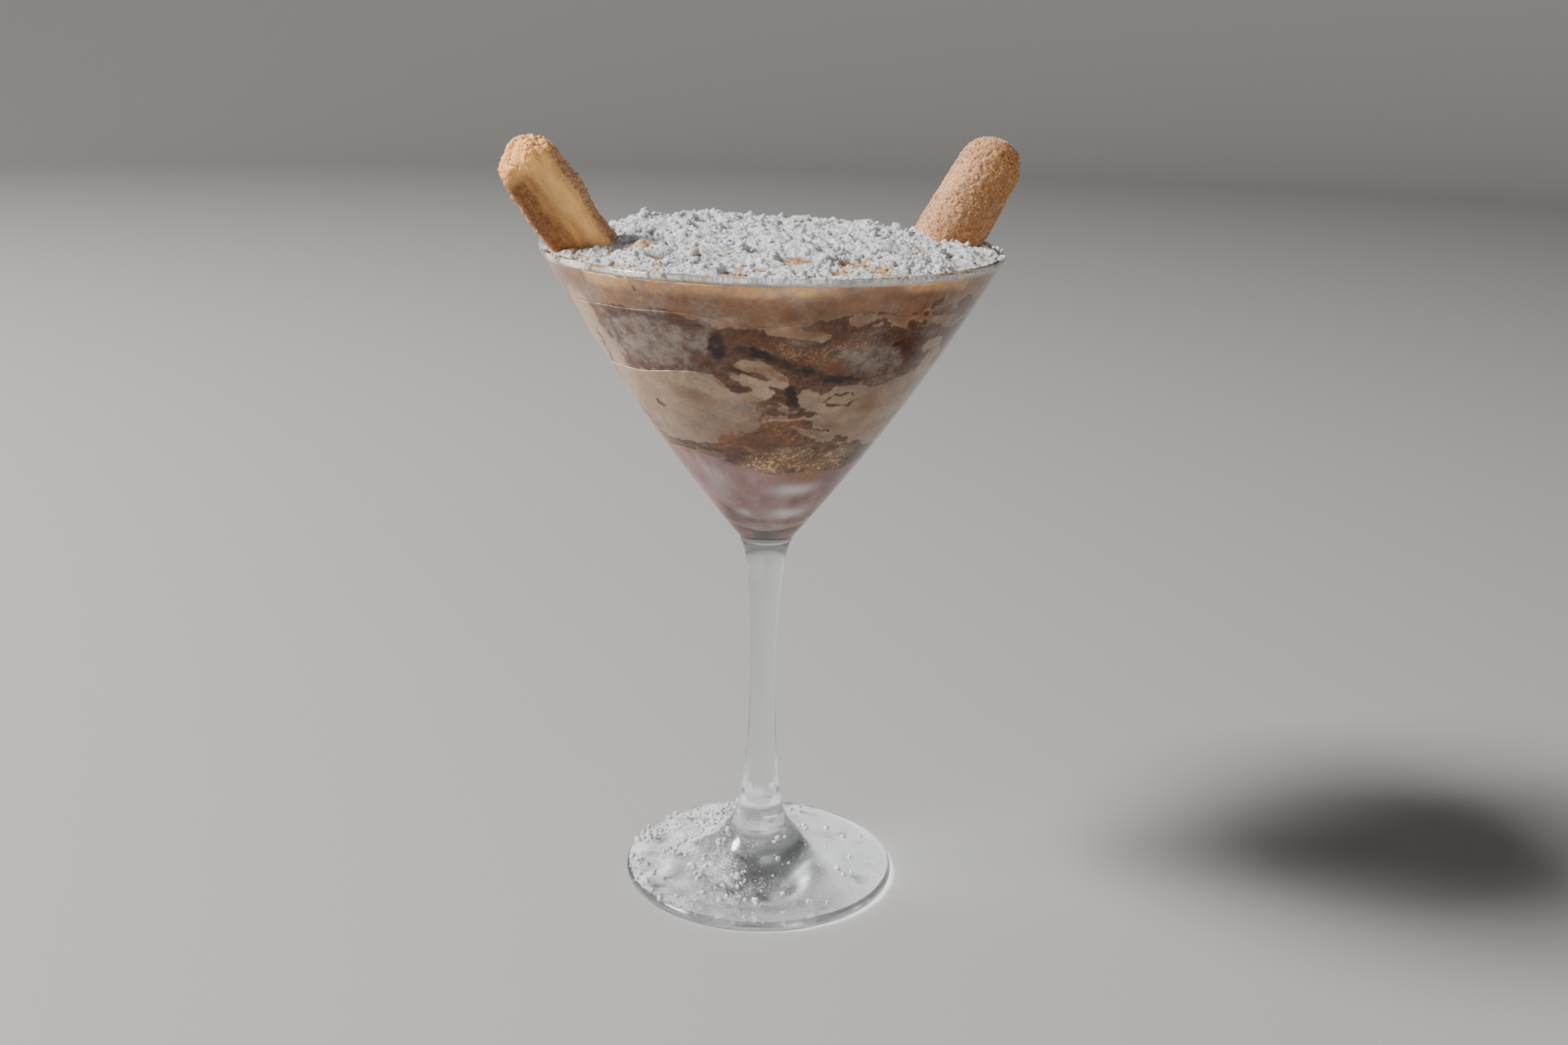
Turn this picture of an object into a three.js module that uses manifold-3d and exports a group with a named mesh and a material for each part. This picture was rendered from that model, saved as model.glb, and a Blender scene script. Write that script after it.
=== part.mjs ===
// A tiramisu served in a stemmed cocktail glass: coffee-soaked biscuit and mascarpone cream in layers
// that show through the bowl, a clumpy mound of icing sugar over the rim, and two ladyfinger biscuits
// pushed in at the left and the right. An air pocket is left in the tip of the bowl.
//
// Millimetres, +Z up. The origin is the centre of the foot's underside, and the front faces -Y.
// Azimuths are in degrees, from the front towards the right.
import * as THREE from "three";
import { mergeVertices } from "three/addons/utils/BufferGeometryUtils.js";
import Module from "manifold-3d";

const wasm = await Module();
wasm.setup();

// The glass. The walls are measured level, not square to their slope
const GLASS_HEIGHT = 175;
const RIM_RADIUS = 59.2;
const LIP_HEIGHT = 0.8;
const BOWL_START = { radius: 6.9, z: 98 };
const BOWL_SWELL = 1.2; // 1 would make the bowl a straight cone
const WALL = { rim: 1.7, tip: 2.6 };
const POCKET_FLOOR = 103;
const TIP_ROUNDING = 7;
const FOOT_RADIUS = 37.2;
const FOOT_EDGE = { width: 1, height: 2.7 };
// Foot and drawn stem from the foot's edge up to the bowl, as radius and height
const STEM_OUTLINE = [
  [36.9, 2.7], [31, 3.3], [22, 4.9], [14.5, 8], [9.4, 12.8], [6.5, 18.5], [5.1, 26],
  [4.2, 37], [3.6, 49], [3.5, 61], [3.8, 74], [4.6, 86], [5.5, 92.8], [6.9, 98],
];

// Clearance between the filling, the glass and the biscuits
const GAP = 0.3;

// Where one layer meets the next at the wall: a mean height, and swells that each have an azimuth,
// a width in degrees and a rise
const LAYER_LINES = {
  pocket: { level: 125, swells: [[-50, 26, 1.5], [12, 24, -3.5], [48, 18, -3], [150, 40, 2]] },
  lower: { level: 129.5, swells: [[-48, 22, -1], [2, 16, 8], [38, 18, 1.5], [120, 30, 4], [-130, 30, 3]] },
  middle: { level: 148.5, swells: [[-28, 16, 2], [5, 9, -5], [32, 14, -1], [95, 26, 3], [-120, 34, -3]] },
  upper: { level: 164.5, swells: [[-36, 18, 1.5], [0, 12, -1], [24, 12, 2], [66, 20, 4], [-150, 40, -2]] },
};
const RIPPLE = { rise: 0.8, turns: 4 };

// The mound over the rim, and the icing sugar on it with its clumps and smaller lumps
const MOUND = { edge: 174.3, rise: 4.2, fullness: 2.9 };
const MOUND_HUMP = { x: -25, y: 13, radius: 18.5, rise: 2.4 };
const SUGAR_DEPTH = { edge: 1.2, middle: 2.6, least: 0.6 };
const CLUMP = { size: 6.5, rise: 0.85 };
const LUMP = { size: 3.1, rise: 0.5 };
const CALM_EDGE = 0.6; // how much of the unevenness is lost towards the wall
// Dents where the cream nearly shows: x, y, radius and depth
const DENTS = [
  [-20, -22, 4, 1.5], [5.5, -38, 5, 1.5], [18.5, -39, 3.5, 1.4], [31, -27, 4, 1.6],
  [41, 0, 3.5, 1.5], [-26, -34, 4.5, 1.3], [14, 9, 3.5, 1.2], [-4, -30, 3, 1],
  [-8, 34, 4, 1.3], [24, 36, 4, 1.4],
];

// The ladyfingers: domed above, nearly flat and troughed below. Each leans outwards along its azimuth
// and is turned about its own length. Its base is where its axis passes the height of the rim
const FINGER = { length: 70, thickness: 12.8, trough: 1.8, troughShare: 0.62, unevenness: 0.035 };
const LEFT_FINGER = { width: 15.2, base: [-45.5, -13.6], lean: 36.3, azimuth: -58, turn: 48, shown: 32.4 };
const RIGHT_FINGER = { width: 16.7, base: [44.8, 13], lean: 32.7, azimuth: 113, turn: 74, shown: 31 };

// How finely the pieces are divided
const SEGMENTS = 56;
const GLASS_STEPS = { edge: 4, stem: 16, outside: 6, inside: 5 };
const DISC_RINGS = 3;
const WALL_STEPS = 2;
const SUGAR_RINGS = 14;
const FINGER_STEPS = { round: 20, along: 17 };

const { degToRad, radToDeg, lerp, clamp } = THREE.MathUtils;
const UP = new THREE.Vector3(0, 0, 1);

// Values at equal steps from one end to the other, both ends included
function spread(from, to, steps) {
  return Array.from({ length: steps + 1 }, (_, i) => lerp(from, to, i / steps));
}

// A repeatable draw from 0 to 1 for each corner of a grid
function draw(i, j) {
  const s = Math.sin(i * 127.1 + j * 311.7) * 43758.5453;
  return s - Math.floor(s);
}

// Smooth unevenness from -1 to 1, about one bump to a unit
function unevenness(x, y) {
  const [i, j] = [Math.floor(x), Math.floor(y)];
  const [u, v] = [THREE.MathUtils.smoothstep(x - i, 0, 1), THREE.MathUtils.smoothstep(y - j, 0, 1)];
  const low = lerp(draw(i, j), draw(i + 1, j), u);
  const high = lerp(draw(i, j + 1), draw(i + 1, j + 1), u);
  return 2 * lerp(low, high, v) - 1;
}

// A closed body from rings of points between two poles. The rings turn anticlockwise seen from the
// second pole, and all have as many points. Quads are split along the same diagonal where the rings
// widen and where they narrow again, so that the faces of two neighbours are parallel
function closedLoft(startPole, rings, endPole) {
  const count = rings[0].length;
  const points = [startPole, ...rings.flat(), endPole];
  const index = [];
  const at = (ring, j) => 1 + ring * count + (j % count);
  for (let j = 0; j < count; j++) {
    index.push(0, at(0, j + 1), at(0, j));
    for (let ring = 0; ring + 1 < rings.length; ring++) {
      const [a, b, c, d] = [at(ring, j), at(ring, j + 1), at(ring + 1, j + 1), at(ring + 1, j)];
      const narrows = rings[ring + 1][0].x < rings[ring][0].x;
      index.push(...(narrows ? [a, b, d, b, c, d] : [a, b, c, a, c, d]));
    }
    index.push(at(rings.length - 1, j), at(rings.length - 1, j + 1), points.length - 1);
  }
  return new THREE.BufferGeometry().setFromPoints(points).setIndex(index);
}

// three.js geometry to a solid that can be cut, and back
function solidOf(geometry) {
  const merged = mergeVertices(geometry, 1e-4);
  return new wasm.Manifold(new wasm.Mesh({
    numProp: 3,
    vertProperties: merged.attributes.position.array,
    triVerts: new Uint32Array(merged.index.array),
  }));
}

function geometryOf(solid) {
  const mesh = solid.getMesh();
  return new THREE.BufferGeometry()
    .setAttribute("position", new THREE.BufferAttribute(new Float32Array(mesh.vertProperties), 3))
    .setIndex(new THREE.BufferAttribute(new Uint32Array(mesh.triVerts), 1));
}

// Outside radius of the bowl at a height
function bowlRadius(z) {
  const t = (z - BOWL_START.z) / (GLASS_HEIGHT - BOWL_START.z);
  return lerp(BOWL_START.radius, RIM_RADIUS, BOWL_SWELL * t - (BOWL_SWELL - 1) * t * t);
}

// Inside radius of the bowl at a height, rounded off in the tip
function insideRadius(z) {
  const wall = lerp(WALL.tip, WALL.rim, (z - POCKET_FLOOR) / (GLASS_HEIGHT - POCKET_FLOOR));
  const up = clamp((z - POCKET_FLOOR) / TIP_ROUNDING, 0, 1);
  return (bowlRadius(z) - wall) * Math.sqrt(1 - (1 - up) ** 2);
}

// The glass is drawn in one piece: foot, stem and bowl
function glassGeometry() {
  const on = (radius) => (z) => new THREE.Vector2(radius(z), z);
  const edge = new THREE.EllipseCurve(
    FOOT_RADIUS - FOOT_EDGE.width, FOOT_EDGE.height / 2, FOOT_EDGE.width, FOOT_EDGE.height / 2,
    -Math.PI / 2, Math.PI / 2.6,
  );
  const stem = new THREE.SplineCurve(STEM_OUTLINE.map(([r, z]) => new THREE.Vector2(r, z)));
  const shoulder = GLASS_HEIGHT - LIP_HEIGHT;
  const [outer, inner] = [bowlRadius(shoulder), insideRadius(shoulder)];
  const lip = new THREE.EllipseCurve((outer + inner) / 2, shoulder, (outer - inner) / 2, LIP_HEIGHT, 0, Math.PI);
  const outside = spread(BOWL_START.z, shoulder, GLASS_STEPS.outside).map(on(bowlRadius));
  const inside = spread(shoulder, POCKET_FLOOR + TIP_ROUNDING, GLASS_STEPS.inside).map(on(insideRadius));
  const tip = [0.5, 0.2, 0.05, 0].map((t) => POCKET_FLOOR + t * TIP_ROUNDING).map(on(insideRadius));
  return new THREE.LatheGeometry([
    new THREE.Vector2(0, 0),
    ...edge.getPoints(GLASS_STEPS.edge),
    ...stem.getPoints(GLASS_STEPS.stem),
    ...outside.slice(1),
    ...lip.getPoints(4).slice(1, -1),
    ...inside,
    ...tip,
  ], SEGMENTS).rotateX(Math.PI / 2);
}

// The filling stays clear of the bowl's inside, and is straight-sided above the lip
function fillingRadius(z) {
  return insideRadius(Math.min(z, GLASS_HEIGHT - LIP_HEIGHT)) - GAP;
}

// A layer line as a height at any share of the way out and any angle, and level in the middle
function lineSurface({ level, swells }) {
  return (share, angle) => {
    const [x, y] = [Math.cos(angle), Math.sin(angle)];
    const azimuth = radToDeg(Math.atan2(x, -y));
    const ripple = RIPPLE.rise * unevenness(RIPPLE.turns * x + level, RIPPLE.turns * y);
    const swell = swells.reduce((sum, [at, width, rise]) => {
      const off = ((azimuth - at + 540) % 360) - 180;
      return sum + rise * Math.exp(-((off / width) ** 2));
    }, 0);
    return level + (swell + ripple) * share ** 2;
  };
}

// A height over the mound as such a surface too
function moundSurface(heightAt) {
  const radius = fillingRadius(GLASS_HEIGHT);
  return (share, angle) => heightAt(share * radius * Math.cos(angle), share * radius * Math.sin(angle), share);
}

function moundHeight(x, y, share) {
  const away = Math.hypot(x - MOUND_HUMP.x, y - MOUND_HUMP.y) / MOUND_HUMP.radius;
  const hump = MOUND_HUMP.rise * Math.exp(-(away ** 2)) * (1 - share ** 6);
  return MOUND.edge + MOUND.rise * (1 - share ** MOUND.fullness) + hump;
}

function creamHeight(x, y, share) {
  return moundHeight(x, y, share) - lerp(SUGAR_DEPTH.middle, SUGAR_DEPTH.edge, share ** 2);
}

function sugarHeight(x, y, share) {
  const clumps = CLUMP.rise * unevenness(x / CLUMP.size, y / CLUMP.size);
  const lumps = LUMP.rise * unevenness(x / LUMP.size, y / LUMP.size);
  const dents = DENTS.reduce((sum, [dentX, dentY, radius, depth]) => {
    return sum + depth * Math.exp(-((Math.hypot(x - dentX, y - dentY) / radius) ** 2));
  }, 0);
  const height = moundHeight(x, y, share) + (clumps + lumps - dents) * (1 - CALM_EDGE * share ** 6);
  return Math.max(height, creamHeight(x, y, share) + GAP + SUGAR_DEPTH.least);
}

// A layer of the filling, out to the bowl's wall, from a lower surface raised by lift to an upper one
function layerGeometry(bottom, top, lift = GAP, topRings = DISC_RINGS) {
  const angles = spread(0, 2 * Math.PI, SEGMENTS).slice(0, -1);
  const point = (share, z, angle, raise = 0) => {
    const r = share * fillingRadius(z);
    return new THREE.Vector3(r * Math.cos(angle), r * Math.sin(angle), z + raise);
  };
  const disc = (surface, share, raise) => angles.map((a) => point(share, surface(share, a), a, raise));
  const wall = (t) => angles.map((a) => point(1, lerp(bottom(1, a) + lift, top(1, a), t), a));
  const rings = [
    ...spread(0, 1, DISC_RINGS).slice(1).map((share) => disc(bottom, share, lift)),
    ...spread(0, 1, WALL_STEPS).slice(1, -1).map(wall),
    ...spread(1, 0, topRings).slice(0, -1).map((share) => disc(top, share)),
  ];
  return closedLoft(point(0, bottom(0, 0), 0, lift), rings, point(0, top(0, 0), 0));
}

// A ladyfinger upright, with its flat underside towards -Y, grown on all sides by grow
function fingerGeometry(finger, grow = 0) {
  const foot = finger.shown - FINGER.length;
  const cap = finger.width / 2;
  const rings = spread(0, Math.PI, FINGER_STEPS.along + 1).slice(1, -1).map((turn) => {
    const along = (FINGER.length * (1 - Math.cos(turn))) / 2;
    const fromEnd = Math.min(along, FINGER.length - along);
    const round = Math.sqrt(1 - (1 - Math.min(1, fromEnd / cap)) ** 2);
    const bulge = 1 + FINGER.unevenness * unevenness(along / cap + finger.turn, 0);
    const halfWidth = cap * round * bulge + grow;
    const halfThickness = (FINGER.thickness / 2) * round ** 0.75 * bulge + grow;
    const dip = FINGER.trough * clamp(fromEnd / cap - 0.6, 0, 1);
    return spread(0, 2 * Math.PI, FINGER_STEPS.round).slice(0, -1).map((a) => {
      const [c, s] = [Math.cos(a), Math.sin(a)];
      const across = Math.sign(c) * Math.abs(c) ** 0.8;
      const dome = s > 0 ? s ** 0.95 : -(Math.abs(s) ** 0.55);
      const hollow = s < 0 ? dip * Math.max(0, 1 - (across / FINGER.troughShare) ** 2) : 0;
      return new THREE.Vector3(halfWidth * across, halfThickness * dome + hollow, foot + along);
    });
  });
  return closedLoft(new THREE.Vector3(0, 0, foot - grow), rings, new THREE.Vector3(0, 0, finger.shown + grow));
}

// Stands an upright ladyfinger in its place in the glass
function fingerPlace(finger) {
  const outwards = new THREE.Vector3(0, -1, 0).applyAxisAngle(UP, degToRad(finger.azimuth));
  const side = UP.clone().cross(outwards);
  const axis = UP.clone().applyAxisAngle(side, degToRad(finger.lean));
  return new THREE.Matrix4()
    .makeBasis(side, axis.clone().cross(side), axis)
    .multiply(new THREE.Matrix4().makeRotationZ(degToRad(finger.turn)))
    .setPosition(...finger.base, GLASS_HEIGHT);
}

// A piece of filling with the biscuits' places cut out of it; loose scraps are dropped
function cutRound(geometry, cutters) {
  const cut = cutters.reduce((solid, cutter) => solid.subtract(cutter), solidOf(geometry));
  return geometryOf(cut.decompose().reduce((a, b) => (b.volume() > a.volume() ? b : a)));
}

const materials = {
  glass: new THREE.MeshStandardMaterial({ color: 0xe6ecec, roughness: 0.08, transparent: true, opacity: 0.35 }),
  cream: new THREE.MeshStandardMaterial({ color: 0xcdb69c, roughness: 0.6, metalness: 0 }),
  soakedBiscuit: new THREE.MeshStandardMaterial({ color: 0x6b4630, roughness: 0.75, metalness: 0 }),
  icingSugar: new THREE.MeshStandardMaterial({ color: 0xf2f1f0, roughness: 0.95, metalness: 0 }),
  ladyfinger: new THREE.MeshStandardMaterial({ color: 0xd9a86c, roughness: 0.85, metalness: 0 }),
};

const tiramisu = new THREE.Group();

function addPiece(name, geometry, material) {
  const mesh = new THREE.Mesh(geometry, material);
  mesh.name = name;
  tiramisu.add(mesh);
  return mesh;
}

addPiece("glass", glassGeometry(), materials.glass);

const fingers = { ladyfinger_left: LEFT_FINGER, ladyfinger_right: RIGHT_FINGER };
for (const [name, finger] of Object.entries(fingers)) {
  addPiece(name, fingerGeometry(finger), materials.ladyfinger).applyMatrix4(fingerPlace(finger));
}

const cutters = Object.values(fingers).map((finger) => {
  return solidOf(fingerGeometry(finger, GAP).applyMatrix4(fingerPlace(finger)));
});
const [pocket, lower, middle, upper] = Object.values(LAYER_LINES).map(lineSurface);
const cream = moundSurface(creamHeight);
const sugar = moundSurface(sugarHeight);
const layers = {
  soaked_biscuit_lower: [layerGeometry(pocket, lower, 0), materials.soakedBiscuit],
  cream_middle: [layerGeometry(lower, middle), materials.cream],
  soaked_biscuit_upper: [layerGeometry(middle, upper), materials.soakedBiscuit],
  cream_top: [layerGeometry(upper, cream), materials.cream],
  icing_sugar: [layerGeometry(cream, sugar, GAP, SUGAR_RINGS), materials.icingSugar],
};
for (const [name, [geometry, material]] of Object.entries(layers)) {
  addPiece(name, cutRound(geometry, cutters), material);
}

export default tiramisu;
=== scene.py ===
from functools import partial
from itertools import combinations
from math import cos, pi, radians, sin

import bpy
import numpy as np
from mathutils import Matrix, Vector


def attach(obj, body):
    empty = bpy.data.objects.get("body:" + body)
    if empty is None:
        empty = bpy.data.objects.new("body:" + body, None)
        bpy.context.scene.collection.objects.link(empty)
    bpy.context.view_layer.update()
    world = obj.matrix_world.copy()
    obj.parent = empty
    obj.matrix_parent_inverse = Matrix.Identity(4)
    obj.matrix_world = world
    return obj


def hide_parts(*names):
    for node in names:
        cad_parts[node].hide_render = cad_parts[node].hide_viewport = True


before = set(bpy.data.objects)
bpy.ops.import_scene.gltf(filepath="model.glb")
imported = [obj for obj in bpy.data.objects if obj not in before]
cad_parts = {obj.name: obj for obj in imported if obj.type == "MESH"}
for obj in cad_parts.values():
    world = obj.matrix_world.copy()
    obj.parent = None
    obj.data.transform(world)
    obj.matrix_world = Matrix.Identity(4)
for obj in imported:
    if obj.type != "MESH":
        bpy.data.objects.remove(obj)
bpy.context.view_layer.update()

# The camera stands at arm's length and a little above the rim, as in the photograph.
# Its place was worked out from the round rim, the foot and the height between them.
pitch, yaw, roll = radians(16.43), radians(0.62), radians(1.49)
forward = Vector((sin(yaw) * cos(pitch), cos(yaw) * cos(pitch), -sin(pitch)))
sideways = Vector((cos(yaw), -sin(yaw), 0))
upwards = sideways.cross(forward)
camera_axes = Matrix((
    cos(roll) * sideways + sin(roll) * upwards,
    cos(roll) * upwards - sin(roll) * sideways,
    -forward,
)).transposed()
camera_data = bpy.data.cameras.new("camera")
camera_data.sensor_width = 36
camera_data.lens = 38.7
camera = bpy.data.objects.new("camera", camera_data)
camera.matrix_world = Matrix.Translation((0, -0.4313, 0.2289)) @ camera_axes.to_4x4()
bpy.context.collection.objects.link(camera)
bpy.context.scene.camera = camera

# The cocktail glass is clear soda glass: a cone for a bowl, a drawn stem and a flat foot.
# Bowl and stem are blown and pulled from one gather, and a faint ring shows where they meet.
# Chilled filling has misted it a little, so it isn't quite clear.
GLASS_HEIGHT = 175
RIM_RADIUS = 59.2
LIP_HEIGHT = 0.8
BOWL_START = (6.9, 98)
BOWL_SWELL = 1.2
WALL_AT_RIM, WALL_AT_TIP = 1.7, 2.6
POCKET_FLOOR = 103
TIP_ROUNDING = 7
FOOT_RADIUS = 37.2
FOOT_EDGE_WIDTH, FOOT_EDGE_HEIGHT = 1, 2.7
STEM_OUTLINE = [
    (36.9, 2.7), (31, 3.3), (22, 4.9), (14.5, 8), (9.4, 12.8), (6.5, 18.5), (5.1, 26),
    (4.2, 37), (3.6, 49), (3.5, 61), (3.8, 74), (4.6, 86), (5.5, 92.8), BOWL_START,
]
JOIN_HEIGHT, JOIN_WIDTH, JOIN_RISE = 97.2, 0.5, 0.22
TIP_STEPS = [0.85, 0.7, 0.56, 0.43, 0.31, 0.21, 0.13, 0.07, 0.03, 0.008]
SHOULDER = GLASS_HEIGHT - LIP_HEIGHT
GLASS_SEGMENTS = 192


def bowl_radius(z):
    t = (np.asarray(z, float) - BOWL_START[1]) / (GLASS_HEIGHT - BOWL_START[1])
    return BOWL_START[0] + (RIM_RADIUS - BOWL_START[0]) * (BOWL_SWELL * t + (1 - BOWL_SWELL) * t**2)


def inside_radius(z):
    z = np.asarray(z, float)
    t = (z - POCKET_FLOOR) / (GLASS_HEIGHT - POCKET_FLOOR)
    wall = WALL_AT_TIP + (WALL_AT_RIM - WALL_AT_TIP) * t
    up = np.clip((z - POCKET_FLOOR) / TIP_ROUNDING, 0, 1)
    return (bowl_radius(z) - wall) * np.sqrt(1 - (1 - up) ** 2)


def curve_through(points, steps):
    """Points along a smooth curve through the given ones."""
    p = np.array(points, float)
    t = np.linspace(0, len(p) - 1, steps)
    i = np.minimum(t.astype(int), len(p) - 2)
    t = (t - i)[:, None]
    before, start, end, after = p[np.maximum(i - 1, 0)], p[i], p[i + 1], p[np.minimum(i + 2, len(p) - 1)]
    leaving, arriving = (end - before) / 2, (after - start) / 2
    bend = (2 * start - 2 * end + leaving + arriving) * t**3
    return bend + (3 * end - 3 * start - 2 * leaving - arriving) * t**2 + leaving * t + start


def put_mesh(name, points, faces, material=None, marks=None):
    """A smooth mesh object from points in millimetres; marks are values kept at each point."""
    mesh = bpy.data.meshes.new(name)
    mesh.from_pydata((np.asarray(points) * 0.001).tolist(), [], faces)
    mesh.shade_smooth()
    for key, values in (marks or {}).items():
        attribute = mesh.attributes.new(key, "FLOAT", "POINT")
        attribute.data.foreach_set("value", values.astype(np.float32).ravel())
    if material:
        mesh.materials.append(material)
    piece = bpy.data.objects.new(name, mesh)
    bpy.context.collection.objects.link(piece)
    return piece


def all_round(segments):
    """Angles spaced evenly round a circle."""
    return np.arange(segments) * 2 * pi / segments


def ringed(r, z, angles):
    """Points at a radius and a height, one to an angle."""
    return np.stack(np.broadcast_arrays(r * np.cos(angles), r * np.sin(angles), z), -1)


def band_faces(rings, segments):
    """Quads between closed rings of points, facing up where each ring lies outside the one before."""
    i = np.arange(rings - 1)[:, None] * segments
    j = np.arange(segments)
    k = (j + 1) % segments
    return np.stack([i + j, i + segments + j, i + segments + k, i + k], 2).reshape(-1, 4)


def loft_faces(rings, segments):
    """Faces of a closed skin: a pole, rings of points from it and a pole again."""
    j = np.arange(segments)
    k = (j + 1) % segments
    quads = 1 + band_faces(rings, segments)[:, [0, 3, 2, 1]]
    last = 1 + (rings - 1) * segments
    start = np.stack([0 * j, 1 + k, 1 + j], 1)
    end = np.stack([last + j, last + k, 0 * j + last + segments], 1)
    return start.tolist() + quads.tolist() + end.tolist()


def lathe(name, outline, segments, material):
    """A turned solid from an outline that starts and ends on the axis."""
    r, z = np.array(outline[1:-1]).T[..., None]
    rings = ringed(r, z, all_round(segments)).reshape(-1, 3)
    points = np.concatenate([[(0, 0, outline[0][1])], rings, [(0, 0, outline[-1][1])]])
    return put_mesh(name, points, loft_faces(len(r), segments), material)


def bell(away, width):
    """1 at no distance, falling off smoothly over a width."""
    return np.exp(-((away / width) ** 2))


def new_material(name):
    material = bpy.data.materials.new(name)
    material.use_nodes = True
    return material, material.node_tree, material.node_tree.nodes["Principled BSDF"]


def fill(node, values):
    """A node's inputs, each either set to a value or linked to a socket."""
    for key, value in values.items():
        if isinstance(value, bpy.types.NodeSocket):
            node.id_data.links.new(value, node.inputs[key])
        else:
            node.inputs[key].default_value = value


def add_node(tree, kind, values=None, **settings):
    node = tree.nodes.new(kind)
    for key, value in settings.items():
        setattr(node, key, value)
    fill(node, values or {})
    return node


def noise(tree, scale, detail=4, roughness=0.55, vector=None):
    """Noise from about 0.2 to 0.8, about scale bumps to a metre, in the piece's own coordinates."""
    vector = vector or add_node(tree, "ShaderNodeTexCoord").outputs["Object"]
    values = {"Vector": vector, "Scale": scale, "Detail": detail, "Roughness": roughness}
    return add_node(tree, "ShaderNodeTexNoise", values).outputs["Fac"]


def height_in(tree):
    """The height in metres of the point being shaded."""
    place = add_node(tree, "ShaderNodeTexCoord").outputs["Object"]
    return add_node(tree, "ShaderNodeSeparateXYZ", {0: place}).outputs["Z"]


def mark(tree, key):
    """A mark kept at each point of the mesh."""
    return add_node(tree, "ShaderNodeAttribute", attribute_name=key).outputs["Fac"]


def remap(tree, value, low, high, to_low=0.0, to_high=1.0, smooth=True):
    kind = "SMOOTHSTEP" if smooth else "LINEAR"
    values = {"Value": value, "From Min": low, "From Max": high, "To Min": to_low, "To Max": to_high}
    return add_node(tree, "ShaderNodeMapRange", values, interpolation_type=kind).outputs["Result"]


def reckon(tree, operation, a, b=0.0, clamp=False):
    return add_node(tree, "ShaderNodeMath", {0: a, 1: b}, operation=operation, use_clamp=clamp).outputs[0]


def times(tree, a, b):
    return reckon(tree, "MULTIPLY", a, b)


def blend(tree, share, a, b, kind="MIX"):
    """Colour b laid over colour a by a share."""
    a, b = (color if isinstance(color, bpy.types.NodeSocket) else (*color, 1) for color in (a, b))
    values = {0: share, 6: a, 7: b}
    return add_node(tree, "ShaderNodeMix", values, data_type="RGBA", blend_type=kind).outputs[2]


def bump(tree, height, distance, strength=1.0):
    values = {"Height": height, "Distance": distance, "Strength": strength}
    return add_node(tree, "ShaderNodeBump", values).outputs["Normal"]


glass_material, tree, shader = new_material("misted glass")
mist = noise(tree, 55, 5, 0.6)
beads = noise(tree, 900, 2, 0.5)
frost = remap(tree, height_in(tree), 0.1, 0.085, 0, 0.07)
fill(shader, {
    "Base Color": (0.93, 0.96, 0.96, 1),
    "IOR": 1.42,
    "Specular IOR Level": 0.28,
    "Transmission Weight": 1,
    "Roughness": reckon(tree, "ADD", frost, remap(tree, mist, 0.35, 0.7, 0.03, 0.12)),
    "Normal": bump(tree, remap(tree, beads, 0.6, 0.75), 0.00004, 0.35),
})
let_light_in = add_node(tree, "ShaderNodeMixShader", {
    0: add_node(tree, "ShaderNodeLightPath").outputs["Is Shadow Ray"],
    1: shader.outputs[0],
    2: add_node(tree, "ShaderNodeBsdfTransparent", {"Color": (0.9, 0.93, 0.93, 1)}).outputs[0],
})
fill(tree.nodes["Material Output"], {"Surface": let_light_in.outputs[0]})

stem_curve = curve_through(STEM_OUTLINE, 120)
stem_curve[:, 0] += JOIN_RISE * bell(stem_curve[:, 1] - JOIN_HEIGHT, JOIN_WIDTH)
outline = [(0, 0)]
for a in np.linspace(-pi / 2, pi / 2.6, 12):
    edge_r = FOOT_RADIUS - FOOT_EDGE_WIDTH + FOOT_EDGE_WIDTH * cos(a)
    outline.append((edge_r, FOOT_EDGE_HEIGHT / 2 * (1 + sin(a))))
outline += stem_curve[1:].tolist()
outline += [(float(bowl_radius(z)), z) for z in np.linspace(BOWL_START[1], SHOULDER, 46)[1:]]
lip_outer, lip_inner = float(bowl_radius(SHOULDER)), float(inside_radius(SHOULDER))
for a in np.linspace(0, pi, 9)[1:-1]:
    lip_r = (lip_outer + lip_inner) / 2 + (lip_outer - lip_inner) / 2 * cos(a)
    outline.append((lip_r, SHOULDER + LIP_HEIGHT * sin(a)))
inner_heights = list(np.linspace(SHOULDER, POCKET_FLOOR + TIP_ROUNDING, 42))
inner_heights += [POCKET_FLOOR + t * TIP_ROUNDING for t in TIP_STEPS]
outline += [(float(inside_radius(z)), z) for z in inner_heights]
outline.append((0, POCKET_FLOOR))
glass = lathe("cocktail_glass", outline, GLASS_SEGMENTS, glass_material)
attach(glass, "root")
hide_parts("glass")

# The filling is spooned in by turns: wet ladyfinger crumb, mascarpone cream, crumb and cream again.
# Coffee, cocoa and cream smear into one another against the glass, which hides the lines between them.
# Every layer reaches just into the wall, so that no air shows behind the glass.
LAYER_LINES = {
    "pocket": (125, [(-50, 26, 1.5), (12, 24, -3.5), (48, 18, -3), (150, 40, 2)]),
    "lower": (129.5, [(-48, 22, -1), (2, 16, 8), (38, 18, 1.5), (120, 30, 4), (-130, 30, 3)]),
    "middle": (148.5, [(-28, 16, 2), (5, 9, -5), (32, 14, -1), (95, 26, 3), (-120, 34, -3)]),
    "upper": (164.5, [(-36, 18, 1.5), (0, 12, -1), (24, 12, 2), (66, 20, 4), (-150, 40, -2)]),
}
RIPPLE_RISE, RIPPLE_TURNS = 0.8, 4
MOUND_EDGE, MOUND_RISE, MOUND_FULLNESS = 174.3, 4.2, 2.9
HUMP_X, HUMP_Y, HUMP_RADIUS, HUMP_RISE = -25, 13, 18.5, 2.4
SUGAR_EDGE, SUGAR_MIDDLE = 1.2, 2.6
GAP = 0.3
WALL_PER_HEIGHT = 1.22
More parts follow.
